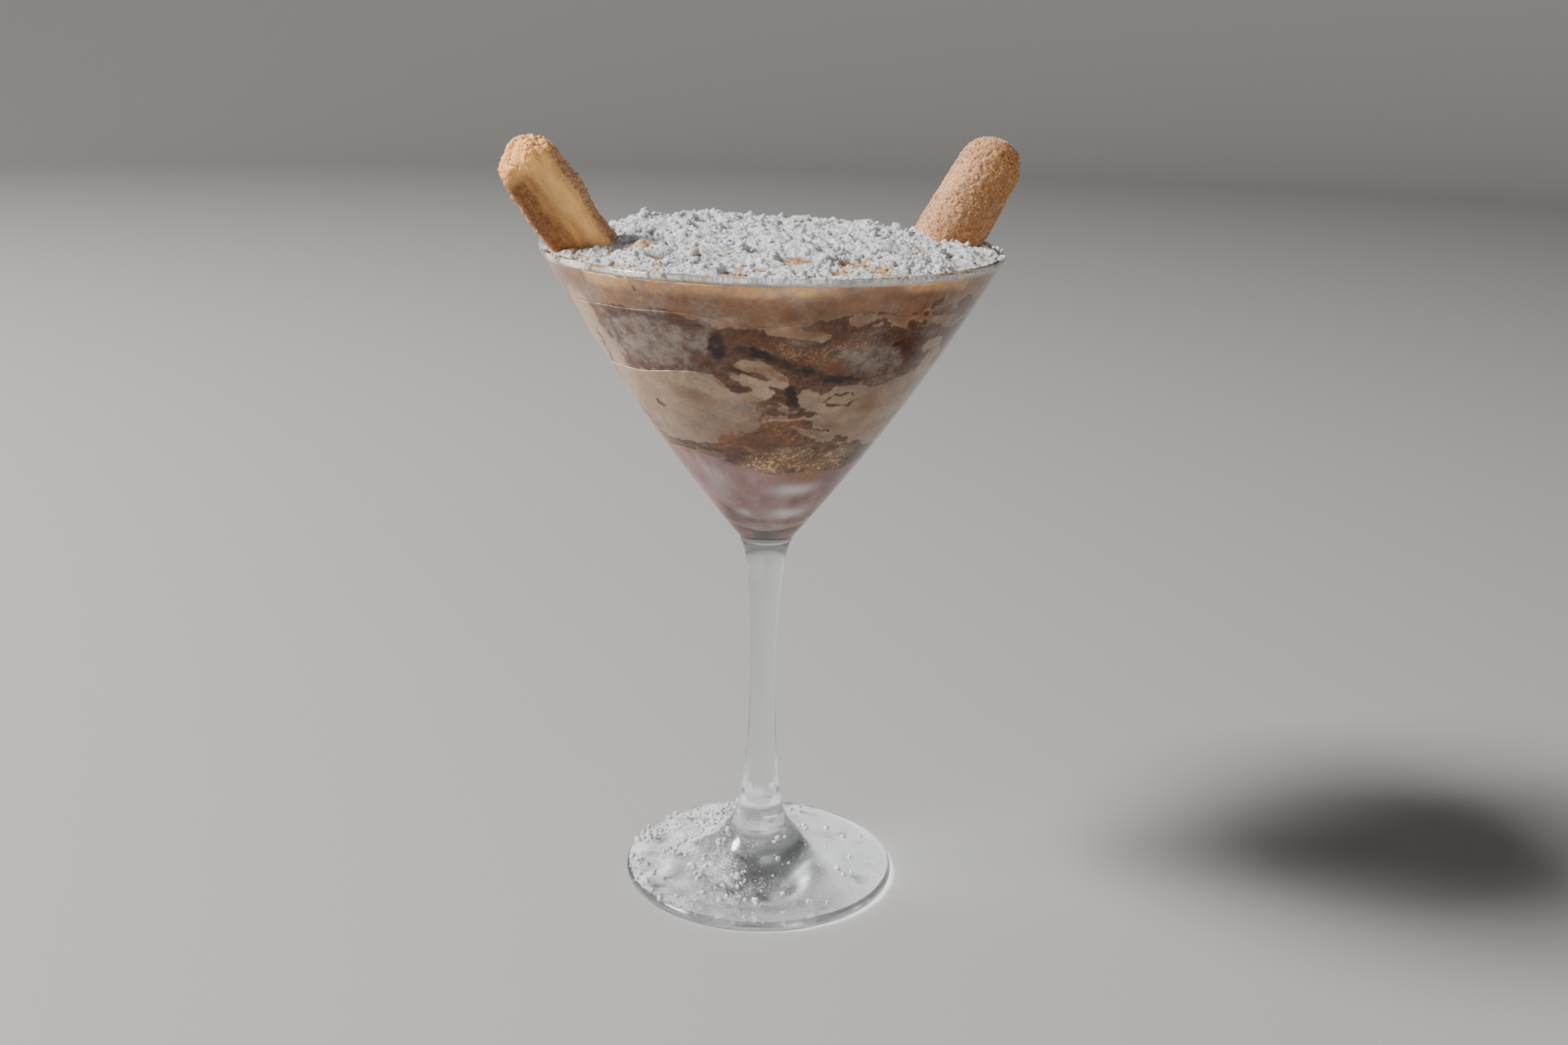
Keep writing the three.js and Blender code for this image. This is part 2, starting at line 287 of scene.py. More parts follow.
WALL_STEP, INTO_WALL = 0.42, 0.15
LAYER_SEGMENTS = 640
SCRAMBLING = ((127.1, 311.7, 74.7), (269.5, 183.3, 246.1), (113.5, 271.9, 124.6))
# Smears against the front of the glass, each over the ones before it, with wet ones plain crumb:
# kind, half width, softness of its edge, strength and a line of (azimuth, height)
# Air smears mark where painted glints go; glow smears are painted light shining through the filling under the
# rim.
SMEARS = {
    "cream at the left wall": ("cream", 6, 0.25, 0.95, [(-64, 164), (-65, 156), (-63, 149)]),
    "cream at the right wall": ("cream", 3.2, 0.5, 0.8, [(62, 153), (60, 149)]),
    "cream down to the crumb": (
        "cream", 1.7, 0.3, 0.95, [(-14, 163.8), (-3, 163.6), (6, 161.8), (14, 160.9)],
    ),
    "cream over the right crumb": ("cream", 1.9, 0.4, 0.85, [(22, 165), (36, 163.9), (48, 163), (64, 162)]),
    "right crumb": ("wet", 2.3, 0.6, 0.75, [(19, 160.7), (33, 160.6), (44, 157.1)]),
    "crumb between": ("wet", 2.6, 0.6, 0.9, [(7, 148.1), (12, 149.3), (19, 147.1)]),
    "crumb right of the lobe": ("wet", 2.8, 0.6, 0.8, [(1, 146.5), (2, 141.3)]),
    "left bloom": ("bloom", 8, 0.5, 1, [(-46, 157.6), (-33, 157), (-24, 156)]),
    "crumb under the left bloom": ("wet", 1.1, 0.7, 0.6, [(-36, 150.6), (-25, 151.1), (-18, 152.3)]),
    "dark top of the left bloom": (
        "cocoa", 1.2, 1, 0.5, [(-49, 162.7), (-40, 164.3), (-33, 164.3), (-25, 163.6), (-17, 161.5)],
    ),
    "dark left of the left bloom": ("cocoa", 1, 1, 0.45, [(-48, 162.7), (-50, 157.7), (-51, 155.1)]),
    "red-brown crumb": ("wet", 2.5, 0.3, 1, [(-13, 161), (-6, 160.7), (1, 158.9), (7, 155.8), (14, 152.5)]),
    "warm crumb": ("amber", 1.4, 0.8, 0.55, [(-12, 160.4), (-4, 160), (2, 158)]),
    "shadow of the clot": ("wet", 2.6, 0.6, 1, [(-22, 153.6), (-15, 153.4), (-9, 152.4)]),
    "drip from the clot": ("wet", 1.5, 0.5, 0.9, [(-18, 151.1), (-12, 148.2), (-8, 145.9)]),
    "golden crumb": ("amber", 2.4, 0.6, 0.85, [(5, 157.2), (12, 155.8), (20, 153)]),
    "golden crumb above": ("amber", 1.5, 0.7, 0.65, [(18, 158.8), (28, 158.7)]),
    "air in the golden crumb": ("air", 3, 0.9, 0.4, [(6, 157.6), (14, 155.8), (26, 157.5), (30, 153.6)]),
    "right bloom": ("bloom", 4.9, 0.45, 1, [(29, 153.5), (37, 154.2)]),
    "dark drag": (
        "cocoa", 1.4, 0.6, 1, [(-14, 157), (-5, 156.6), (2, 154.2), (10, 151.3), (18, 149.5), (28, 148.4)],
    ),
    "clot": ("cocoa", 1.7, 0.5, 1, [(-15, 161), (-16, 155.4)]),
    "tongue": ("cream", 1.5, 0.16, 1, [(-9, 153.3), (-3, 152.6), (3, 149.8)]),
    "coffee on the tongue": ("coffee", 2.4, 0.6, 1, [(-9, 153.3), (3, 150)]),
    "tongue below": ("cream", 1.2, 0.16, 0.95, [(-8, 149.9), (-2, 148.1), (4, 148.1)]),
    "lobe": ("cream", 2.3, 0.16, 1, [(-32, 148.2), (-23, 147.2), (-12, 144.2), (-2, 145.4)]),
    "notch": ("wet", 0.9, 0.4, 1, [(-11, 147), (-7, 146)]),
    "blot": ("cocoa", 1.2, 0.4, 1, [(6, 147.4), (8, 144), (9, 141.4)]),
    "wedge": ("wet", 2.1, 0.4, 1, [(5, 144.4), (8, 142), (13, 140.6)]),
    "foot of the wedge": ("wet", 0.9, 0.5, 1, [(0, 140.2), (10, 139.8), (19, 139.6)]),
    "cocoa in the wedge": ("cocoa", 1.2, 0.8, 0.9, [(6, 146), (9, 142.4), (13, 140.6)]),
    "coffee left of the wedge": ("amber", 1.8, 0.9, 0.6, [(-6, 143.6), (-3, 140.4)]),
    "coffee in the soft bloom": ("coffee", 5, 0.9, 0.75, [(-46, 134), (-24, 136.6), (-9, 139)]),
    "soft bloom": ("bloom", 5.6, 0.7, 0.75, [(-46, 133.5), (-24, 136.6), (-9, 139)]),
    "smudge": ("wet", 0.9, 0.7, 0.85, [(-48, 140.2), (-45, 137.6)]),
    "coffee around the amber crumb": ("coffee", 5, 0.8, 1, [(-16, 133), (0, 137.4), (20, 135)]),
    "amber crumb": ("amber", 2.6, 0.9, 0.95, [(15, 136.6), (-2, 136), (8, 132.6), (-8, 132.4), (-22, 130.4)]),
    "crumb right of the amber crumb": ("wet", 1.3, 0.8, 0.8, [(15, 137.4), (22, 134.8), (31, 133.6)]),
    "air in the amber crumb": ("air", 3, 0.9, 0.25, [(4, 136), (15, 132)]),
    "thin cream edge": ("cream", 0.4, 0.4, 0.9, [(0, 138.1), (13, 138.3), (19, 139.2)]),
    "cracked crumb": ("wet", 1.6, 0.6, 0.85, [(18, 132.7), (37, 131.3)]),
    "bright crumb": ("amber", 3.7, 0.3, 1, [(5, 124.8), (23, 124.4), (33, 125.4)]),
    "bright crumb below": ("amber", 1.7, 0.5, 0.9, [(-5, 123.9), (7, 121), (29, 118.8)]),
    "air in the bright crumb": ("air", 5, 0.6, 1, [(-2, 124), (14, 124.6), (36, 126.4)]),
    "coffee run on the left": ("amber", 1.7, 0.6, 1, [(-70, 136), (-63, 129.5), (-56, 123.5)]),
    "thin line over the pocket": (
        "wet", 0.7, 0.6, 0.85, [(-53, 129.3), (-36, 128.4), (-19, 128), (-2, 127.4)],
    ),
    "coffee run on the right": ("amber", 1.8, 0.6, 0.95, [(74, 141), (67, 133), (60, 126)]),
    "coffee across the top": ("coffee", 4, 0.9, 0.9, [(-22, 170), (0, 167.4), (24, 168.4), (60, 168.4)]),
    "coffee at the top left": ("coffee", 5, 0.9, 0.8, [(-64, 170), (-48, 168), (-30, 167)]),
    "coffee down to the crumb": ("coffee", 3, 0.7, 0.8, [(-14, 163.8), (-3, 163.6), (6, 161.8), (14, 160.9)]),
    "coffee over the right crumb": ("coffee", 3, 0.7, 0.7, [(22, 165), (36, 163.9), (48, 163), (64, 162)]),
    "hook": ("wet", 0.9, 0.3, 1, [(18, 165), (19, 162.5), (23, 162.5), (28, 164.3)]),
    "end of the hook": ("wet", 1.2, 0.6, 0.85, [(29, 164.2), (36, 161.6)]),
    "dark right of the bloom": ("cocoa", 1.2, 0.7, 0.6, [(38, 158.1), (50, 153.9)]),
    "streak over the fleck": ("wet", 1.3, 0.6, 0.8, [(39, 163.2), (45, 162.9), (62, 158.9)]),
    "pale fleck": ("cream", 2, 0.2, 1, [(53, 156.4), (58, 157.1)]),
    "streak up the right": ("wet", 0.9, 0.5, 0.85, [(43, 165.3), (49, 170.2)]),
    "second streak up the right": ("wet", 1, 0.5, 0.85, [(63, 162.2), (71, 168.2)]),
    "loop in the cream": (
        "wet", 0.5, 0.5, 0.85, [(20, 143.1), (22, 144.3), (28, 145.5), (33, 144), (29, 142), (21, 142.3)],
    ),
    "glow under the rim": ("glow", 2.2, 0.9, 1, [(-48, 172.4), (-24, 172.6), (-9, 172.8), (14, 172.8)]),
    "glow on the right": ("glow", 1.8, 0.9, 0.9, [(34, 172.8), (52, 172.6)]),
    "coffee run from the rim": ("amber", 0.8, 0.6, 0.9, [(-35, 171.5), (-33, 168.8), (-32, 166.2)]),
    "fibres at the left wall": ("amber", 0.8, 0.7, 0.8, [(-62, 157), (-64, 151), (-68, 146)]),
    "red fibres at the left wall": ("amber", 1, 0.8, 0.6, [(-68, 148), (-65, 141), (-60, 134)]),
    "speck": ("wet", 0.5, 0.6, 0.9, [(1, 165.7), (2, 164.4)]),
    "second speck": ("wet", 0.45, 0.6, 0.8, [(9, 166.4), (10, 164.4)]),
}


def scramble(turns):
    """A number from 0 to 1 that follows no pattern, yet is the same each time."""
    turns = np.sin(turns) * 43758.5453
    return turns - np.floor(turns)


def draw(i, j):
    return scramble(i * 127.1 + j * 311.7)


def unevenness(x, y):
    """Smooth unevenness from -1 to 1, about one bump to a unit."""
    x, y = np.broadcast_arrays(np.asarray(x, float), np.asarray(y, float))
    i, j = np.floor(x), np.floor(y)
    u, v = (x - i) ** 2 * (3 - 2 * (x - i)), (y - j) ** 2 * (3 - 2 * (y - j))
    low = draw(i, j) * (1 - u) + draw(i + 1, j) * u
    high = draw(i, j + 1) * (1 - u) + draw(i + 1, j + 1) * u
    return 2 * (low * (1 - v) + high * v) - 1


def rough(points, size, octaves=3, seed=0.0):
    """Roughness in space from about -1 to 1, its largest bumps about size across."""
    total, share = 0, 1
    for octave in range(octaves):
        p = np.asarray(points, float) / size * 2**octave + 17.3 * octave + seed
        cell = np.floor(p)
        f = (p - cell) ** 2 * (3 - 2 * (p - cell))
        value = 0
        for dz, dy, dx in np.ndindex(2, 2, 2):
            weight = 1
            for axis, step in enumerate((dx, dy, dz)):
                weight = weight * (f[..., axis] if step else 1 - f[..., axis])
            value = value + weight * scramble((cell + (dx, dy, dz)) @ SCRAMBLING[0])
        total = total + share * (2 * value - 1)
        share *= 0.5
    return total


def smooth_step(value, low, high):
    t = np.clip((value - low) / (high - low), 0, 1)
    return t * t * (3 - 2 * t)


def azimuth_of(x, y):
    """Degrees from the front, rising to the right."""
    return np.degrees(np.arctan2(x, -y))


def apart(azimuth, at):
    """Degrees from one azimuth to another, the short way round."""
    return (azimuth - at + 540) % 360 - 180


def layer_line(key, share, angles):
    """The height of a line between layers, level in the middle and swelling towards the wall."""
    level, swells = LAYER_LINES[key]
    x, y = np.cos(angles), np.sin(angles)
    rise = RIPPLE_RISE * unevenness(RIPPLE_TURNS * x + level, RIPPLE_TURNS * y)
    for at, width, swell in swells:
        rise = rise + swell * bell(apart(azimuth_of(x, y), at), width)
    return level + rise * share**2


def mound_height(x, y, share):
    hump = HUMP_RISE * bell(np.hypot(x - HUMP_X, y - HUMP_Y), HUMP_RADIUS) * (1 - share**6)
    return MOUND_EDGE + MOUND_RISE * (1 - share**MOUND_FULLNESS) + hump


def cream_height(x, y, share):
    return mound_height(x, y, share) - (SUGAR_MIDDLE + (SUGAR_EDGE - SUGAR_MIDDLE) * share**2)


def cream_surface(share, angles):
    reach = share * (inside_radius(SHOULDER) - GAP)
    return cream_height(reach * np.cos(angles), reach * np.sin(angles), share)


def distance_to(line, u, v, width):
    """How far points on the unrolled wall lie from a line of (azimuth, height) points, in widths."""
    corners = np.array([(radians(a) * inside_radius(z), WALL_PER_HEIGHT * z) for a, z in line])
    nearest = np.full(u.shape, 1e9)
    for (x0, y0), (x1, y1) in zip(corners[:-1], corners[1:]):
        dx, dy = x1 - x0, y1 - y0
        t = np.clip(((u - x0) * dx + (v - y0) * dy) / (dx * dx + dy * dy), 0, 1)
        nearest = np.minimum(nearest, np.hypot(u - x0 - t * dx, v - y0 - t * dy))
    return nearest / width


def smeared(points):
    """Shares of each kind of smear at points on the wall of a layer."""
    x, y, z = np.asarray(points).T
    azimuth = azimuth_of(x, y)
    u = np.arctan2(x, -y) * inside_radius(np.minimum(z, SHOULDER))
    v = WALL_PER_HEIGHT * z
    for size, reach in ((8, 0.4), (2.8, 0.55), (1.2, 0.4)):
        u = u + reach * rough(points, size, 2, size)
        v = v + reach * rough(points, size, 2, size + 40)
    drawn = np.stack([x * 0.35, y * 0.35, z], 1)
    streaks = rough(drawn, 3.2, 4, 11)
    clots = rough(points, 6, 4, 23)
    uneven = rough(points, 3, 4, 37)
    level = z + 1.6 * rough(points, 9, 4, 47) + 0.5 * rough(points, 1.8, 2, 53)
    lines = [layer_line(key, 1, np.arctan2(y, x)) for key in ("lower", "middle", "upper")]
    over = [smooth_step(level - line, -0.5, 0.5) for line in lines]
    creamy = over[0] - over[1] + over[2]
    stain = 0.3 + 0.05 * smooth_step(azimuth, -45, 10) + 0.3 * rough(points, 11, 4, 91)
    marks = {
        "cream": 0.95 * creamy,
        "coffee": np.clip(stain + 0.25 * streaks + 0.45 * over[2], 0, 1),
        "cocoa": (0.6 - 0.25 * creamy) * smooth_step(clots + 0.6 * streaks, 0.5, 1.5),
        "amber": (0.6 - 0.25 * creamy) * smooth_step(streaks + 0.3 * clots, 0.2, 1.1),
        "bloom": 0.15 + 0.45 * smooth_step(rough(points, 7, 4, 31), -0.2, 0.7),
        # air: where painted glints of air against the glass go; glow: painted light, none until the smears
        # lay it on
        "air": 0.5 * (1 - creamy) * smooth_step(clots - 0.4 * streaks, 0.4, 1.2),
        "glow": 0 * x,
    }
    behind = smooth_step(np.abs(azimuth), 66, 80)
    blots = smooth_step(rough(drawn, 9, 4, 57), 0.25, 0.5) * behind
    marks["cream"] = marks["cream"] * (1 - blots) + (1 - creamy) * blots
    bare = behind * (1 - marks["cream"])
    marks["bloom"] = marks["bloom"] + 0.8 * bare * smooth_step(rough(points, 11, 2, 71), 0.1, 0.5)
    for kind, width, softness, strength, line in SMEARS.values():
        cover = 1 - smooth_step(distance_to(line, u, v, width), 1 - softness, 1 + softness)
        if kind != "cream":
            cover = cover * np.clip((0.5 if kind == "amber" else 0.72) + 0.6 * uneven, 0, 1)
        cover = strength * cover * (np.abs(azimuth) < 92)
        for key in marks:
            left_alone = kind in ("air", "coffee") or key == "cream" and kind in ("bloom", "glow")
            if key == kind or not left_alone:
                marks[key] = marks[key] * (1 - cover) + (key == kind) * cover
    # The painted glow light takes the place of the coffee colour.
    marks["coffee"] = marks["coffee"] * (1 - marks["glow"])
    return marks


def put_layer(name, bottom, top, material):
    """A layer out to the bowl's wall, between two surfaces given as heights at a share and an angle."""
    angles = all_round(LAYER_SEGMENTS)
    low, high = bottom(1, angles), top(1, angles)
    steps = int(np.ceil((high - low).max() / WALL_STEP)) + 1
    outwards, inwards = np.linspace(0, 1, 6)[1:-1], np.linspace(1, 0, 8)[1:-1]
    heights = [bottom(share, angles) for share in outwards]
    heights += [low + (high - low) * t for t in np.linspace(0, 1, steps)]
    heights += [top(share, angles) for share in inwards]
    shares = np.concatenate([outwards, np.ones(steps), inwards])
    z = np.array(heights)
    r = shares[:, None] * (inside_radius(np.minimum(z, SHOULDER)) + INTO_WALL)
    poles = [(0, 0, float(surface(0, angles[:1])[0])) for surface in (bottom, top)]
    points = np.concatenate([poles[:1], ringed(r, z, angles).reshape(-1, 3), poles[1:]])
    return put_mesh(name, points, loft_faces(len(z), LAYER_SEGMENTS), material, smeared(points))


# The smears are one finish for cream and crumb alike, with its own colours in each.
tree = smear = bpy.data.node_groups.new("smeared filling", "ShaderNodeTree")
SMEAR_KINDS = ("Cream", "Coffee", "Cocoa", "Amber", "Bloom", "Air", "Glow")
for key in SMEAR_KINDS:
    smear.interface.new_socket(key + " Share", in_out="INPUT", socket_type="NodeSocketFloat")
for key in ("Cream", "Coffee", "Crumb", "Cocoa", "Amber", "Thread", "Bloom", "Glow"):
    smear.interface.new_socket(key, in_out="INPUT", socket_type="NodeSocketColor")
smear.interface.new_socket("Color", in_out="OUTPUT", socket_type="NodeSocketColor")
for key in ("Roughness", "Height"):
    smear.interface.new_socket(key, in_out="OUTPUT", socket_type="NodeSocketFloat")
given = add_node(tree, "NodeGroupInput").outputs
fine = noise(tree, 800, 5, 0.65)
soft = noise(tree, 170, 5, 0.62)
ragged = reckon(tree, "ADD", times(tree, fine, 0.5), times(tree, soft, 0.5))


def torn(key, low, high, sharp):
    """A share with its edge torn along the noise, and still a little of the soft one in it."""
    shift = times(smear, reckon(smear, "SUBTRACT", ragged, 0.5), 1.5)
    edge = remap(smear, reckon(smear, "ADD", given[key], shift), low, high)
    return reckon(smear, "ADD", times(smear, edge, sharp), times(smear, given[key], 1 - sharp), clamp=True)


def grey(value):
    return add_node(smear, "ShaderNodeCombineColor", {0: value, 1: value, 2: value}).outputs[0]


cream_share = torn("Cream Share", 0.33, 0.62, 0.62)
stained = blend(tree, torn("Coffee Share", 0.1, 0.9, 0.4), given["Cream"], given["Coffee"])
crumb = blend(tree, 1.0, given["Crumb"], grey(remap(tree, fine, 0.4, 0.62, 0.7, 1.3)), "MULTIPLY")
color = blend(tree, cream_share, crumb, stained)
clouds = noise(tree, 300, 5, 0.66)
mottle = times(tree, torn("Bloom Share", 0.3, 0.8, 0.3), remap(tree, clouds, 0.34, 0.58, 0.3, 1))
color = blend(tree, mottle, color, given["Bloom"])
flecked = times(tree, remap(tree, noise(tree, 1100, 3, 0.6), 0.54, 0.64), given["Bloom Share"])
color = blend(tree, times(tree, flecked, 0.22), color, (0.52, 0.44, 0.37))
color = blend(tree, torn("Amber Share", 0.3, 0.8, 0.3), color, given["Amber"])
# Where air lies against the glass, painted glints in the glint colour stand in for its reflection: a general
# lightening, bright threads and bubbles.
ridge = reckon(tree, "ABSOLUTE", reckon(tree, "SUBTRACT", noise(tree, 330, 4, 0.6), 0.5))
airy = times(tree, given["Air Share"], 0.9)
glint_threads = times(tree, remap(tree, ridge, 0.0, 0.04, 1, 0), remap(tree, soft, 0.4, 0.56))
bubble_glints = times(tree, remap(tree, noise(tree, 1250, 2, 0.5), 0.56, 0.64), times(tree, airy, 0.8))
for share in (times(tree, airy, 0.14), times(tree, glint_threads, airy), bubble_glints):
    color = blend(tree, share, color, given["Thread"])
# Painted light: the glow colour laid where light shines through the filling under the rim.
color = blend(tree, times(tree, torn("Glow Share", 0.3, 0.9, 0.4), 0.9), color, given["Glow"])
color = blend(tree, torn("Cocoa Share", 0.35, 0.8, 0.3), color, given["Cocoa"])
# The edges of the cream get thin painted highlights in the glint colour.
edge = times(tree, cream_share, reckon(tree, "SUBTRACT", 1.0, cream_share))
edge = times(tree, remap(tree, edge, 0.16, 0.25), remap(tree, soft, 0.46, 0.6, 0, 0.35))
color = blend(tree, edge, color, given["Thread"])
specks = times(tree, remap(tree, noise(tree, 1500, 2), 0.66, 0.74), remap(tree, soft, 0.45, 0.62))
color = blend(tree, times(tree, specks, 0.5), color, given["Cocoa"])
broad_tone = remap(tree, noise(tree, 90, 5, 0.65), 0.3, 0.7, 0.8, 1.16)
tone = times(tree, broad_tone, remap(tree, fine, 0.3, 0.7, 0.86, 1.14))
add_node(tree, "NodeGroupOutput", {
    "Color": blend(tree, 1.0, color, grey(tone), "MULTIPLY"),
    "Roughness": remap(tree, cream_share, 0, 1, 0.38, 0.5, smooth=False),
    "Height": ragged,
})
# Glow is painted light, not a colour of the filling.
SHARED_COLORS = {"Coffee": (0.27, 0.125, 0.058), "Cocoa": (0.016, 0.005, 0.004), "Glow": (0.7, 0.34, 0.12)}


def filling_material(name, **colors):
    material, tree, shader = new_material(name)
    group = add_node(tree, "ShaderNodeGroup", node_tree=smear)
    fill(group, {key + " Share": mark(tree, key.lower()) for key in SMEAR_KINDS})
    fill(group, {key: (*color, 1) for key, color in (SHARED_COLORS | colors).items()})
    fill(shader, {
        "Base Color": group.outputs["Color"],
        "Roughness": group.outputs["Roughness"],
        "Specular IOR Level": 0.12,
        "Normal": bump(tree, group.outputs["Height"], 0.0004, 0.6),
    })
    return material


cream_material = filling_material(
    "coffee-stained mascarpone cream",
    Cream=(0.49, 0.33, 0.222),
    Crumb=(0.12, 0.042, 0.02),
    Amber=(0.25, 0.088, 0.023),
    Thread=(0.88, 0.67, 0.44),
    Bloom=(0.31, 0.235, 0.19),
)
crumb_material = filling_material(
    "coffee-soaked crumb with cocoa",
    Cream=(0.49, 0.325, 0.217),
    Crumb=(0.125, 0.043, 0.02),
    Amber=(0.22, 0.072, 0.016),
    Thread=(0.94, 0.68, 0.38),
    Bloom=(0.33, 0.25, 0.205),
)
surface = {key: partial(layer_line, key) for key in LAYER_LINES}
layers = [
    ("wet_crumb_low", "soaked_biscuit_lower", surface["pocket"], surface["lower"], False),
    ("cream_between", "cream_middle", surface["lower"], surface["middle"], True),
    ("wet_crumb_high", "soaked_biscuit_upper", surface["middle"], surface["upper"], False),
    ("cream_on_top", "cream_top", surface["upper"], cream_surface, True),
]
for name, node, low, high, creamy in layers:
    layer = put_layer(name, low, high, cream_material if creamy else crumb_material)
    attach(layer, "root")
    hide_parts(node)

# A milky film of melted cream clings inside the empty tip of the bowl, under the lowest crumb.
# It is thick near the crumb, streaked where it ran down, and thin over the rounded tip. Pale patches on it
# are painted highlights.
FILM_SEGMENTS = 160
FILM_FLOORS = (POCKET_FLOOR - 0.1, POCKET_FLOOR + 0.25)
INTO_GLASS, OFF_GLASS, UP_THE_CRUMB = 0.12, -0.25, 0.4
# Painted highlights and runs of coffee in the film, as azimuth, height, their spreads and strength
FILM_HIGHLIGHTS = [
    (22, 116.5, 16, 1.6, 0.8), (26, 108.6, 20, 1.4, 1), (-27, 108.4, 10, 1.2, 0.7), (-36, 119, 12, 5, 0.35),
]
FILM_RUNS = [
    (-64, 124.5, 12, 2.6, 1), (68, 125, 12, 2.6, 1), (24, 120.5, 22, 2.2, 0.9), (-30, 126.5, 30, 1, 0.6),
]

film_material, tree, shader = new_material("milky film on glass")
place = add_node(tree, "ShaderNodeTexCoord").outputs["Object"]
stretched = add_node(tree, "ShaderNodeMapping", {"Vector": place, "Scale": (1, 1, 0.3)}).outputs[0]
runs = noise(tree, 160, 4, 0.6, stretched)
color = blend(tree, remap(tree, runs, 0.36, 0.66), (0.27, 0.115, 0.105), (0.42, 0.22, 0.195))
# Painted highlights: pale patches where the inner bottom of the glass would catch the light.
color = blend(tree, mark(tree, "painted_highlight"), color, (0.82, 0.78, 0.77))
color = blend(tree, remap(tree, mark(tree, "ran"), 0.15, 0.8), color, (0.33, 0.15, 0.055))
flecks = times(tree, remap(tree, noise(tree, 1700, 1), 0.66, 0.74), remap(tree, runs, 0.4, 0.6))
cover = remap(tree, height_in(tree), 0.104, 0.112, 0.8, 0.97)
fill(shader, {
    "Base Color": blend(tree, flecks, color, (0.75, 0.6, 0.5)),
    "Alpha": times(tree, cover, remap(tree, runs, 0.3, 0.5, 0.9, 1)),
    "Roughness": remap(tree, runs, 0.3, 0.7, 0.12, 0.3),
    "Normal": bump(tree, runs, 0.0002, 0.4),
})

angles = all_round(FILM_SEGMENTS)
climb = np.concatenate([np.linspace(0, 1, 14)[1:] ** 2 * 0.3, np.linspace(0.3, 1, 24)[1:]])
film_rings = []
for reach, level, steps in ((INTO_GLASS, FILM_FLOORS[0], climb), (OFF_GLASS, FILM_FLOORS[1], climb[::-1])):
    for t in steps:
        z = level + (layer_line("pocket", 1, angles) + UP_THE_CRUMB - level) * t
        r = np.maximum(inside_radius(np.maximum(z, POCKET_FLOOR)) + reach, 0.1 + 3 * t)
        film_rings.append(ringed(r, z, angles))
film_points = np.concatenate([[(0, 0, FILM_FLOORS[0])], *film_rings, [(0, 0, FILM_FLOORS[1])]])


def blotched(spots):
    """A mark that is high around each of some spots of the film."""
    x, y, z = film_points.T
    total = 0 * x
    for at, height, wide, high, much in spots:
        off = ((azimuth_of(x, y) - at) / wide) ** 2 + ((z - height) / high) ** 2
        total = np.maximum(total, much * np.exp(-off))
    return total


ran = blotched(FILM_RUNS) * (0.7 + 0.5 * rough(film_points, 2.5, 3, 77))
marks = {"painted_highlight": blotched(FILM_HIGHLIGHTS), "ran": ran}
film = put_mesh("milky_film", film_points, loft_faces(len(film_rings), FILM_SEGMENTS), film_material, marks)
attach(film, "root")

# The ladyfingers are dry sponge biscuits, piped and baked under sugar: a domed, cracked crust of grains
# above, a flat brown underside with a shallow trough below. They are pushed into the cream, leaning out.
FINGER_LENGTH, FINGER_THICKNESS = 70, 12.8
TROUGH_DEPTH, TROUGH_SHARE = 1.8, 0.62
FINGER_UNEVENNESS = 0.035
FINGERS = {
    "ladyfinger_left": dict(
        width=15.2, base=(-45.5, -13.6), lean=36.3, azimuth=-58, turn=48, shown=32.4, brown_side=0, knobbly=1,
    ),
    "ladyfinger_right": dict(
        width=16.7, base=(44.8, 13), lean=32.7, azimuth=113, turn=74, shown=31, brown_side=1, knobbly=0.25,
    ),
}
AROUND_FINGER = 236

crust_material, tree, shader = new_material("sugared sponge crust")
dome, pit_shade = mark(tree, "dome"), mark(tree, "pit_shade")
grain = noise(tree, 1300, 4, 0.65)
patchy = noise(tree, 210, 4, 0.6)
# One side of the right finger is browner from baking and darker as painted shade on its shaded side.
browned_and_shaded = reckon(tree, "ADD", mark(tree, "browned_and_shaded"), remap(tree, patchy, 0.3, 0.7, -0.2, 0.2))
color = blend(tree, remap(tree, browned_and_shaded, 0, 1), (0.6, 0.295, 0.14), (0.4, 0.165, 0.042))
dusting = times(tree, remap(tree, grain, 0.46, 0.66), dome)
color = blend(tree, times(tree, dusting, 0.38), color, (0.78, 0.52, 0.34))
color = blend(tree, remap(tree, grain, 0.48, 0.34, 0, 0.75), color, (0.3, 0.125, 0.04))
# The underside is painted light on its right lip and painted shade towards the left and in the trough, as the
# light falls.
under = blend(tree, mark(tree, "trough"), (1, 0.57, 0.2), (0.2, 0.07, 0.016))
under = blend(tree, remap(tree, patchy, 0.45, 0.65, 0, 0.25), under, (0.5, 0.22, 0.06))
under = blend(tree, remap(tree, grain, 0.42, 0.62, 0, 0.14), under, (0.9, 0.52, 0.2))
under = blend(tree, remap(tree, grain, 0.44, 0.3, 0, 0.24), under, (0.16, 0.055, 0.014))
color = blend(tree, dome, under, color)
# The knobbly tip is a brighter golden, partly its baked colour and partly a painted highlight where light
# strikes it.
golden = times(tree, mark(tree, "golden"), remap(tree, patchy, 0.35, 0.6, 0.7, 1))
color = blend(tree, golden, color, (1, 0.49, 0.14))
fill(shader, {
    # Pits and cracks are darkened with painted shade in the recesses.
    "Base Color": blend(tree, remap(tree, pit_shade, 0.15, 0.8, 0, 0.8), color, (0.25, 0.1, 0.03)),
    "Roughness": 0.72,
    "Subsurface Weight": 0.12,
    "Subsurface Radius": (0.002, 0.001, 0.0005),
    "Subsurface Scale": 1,
    "Normal": bump(tree, grain, 0.0005, 0.8),
})


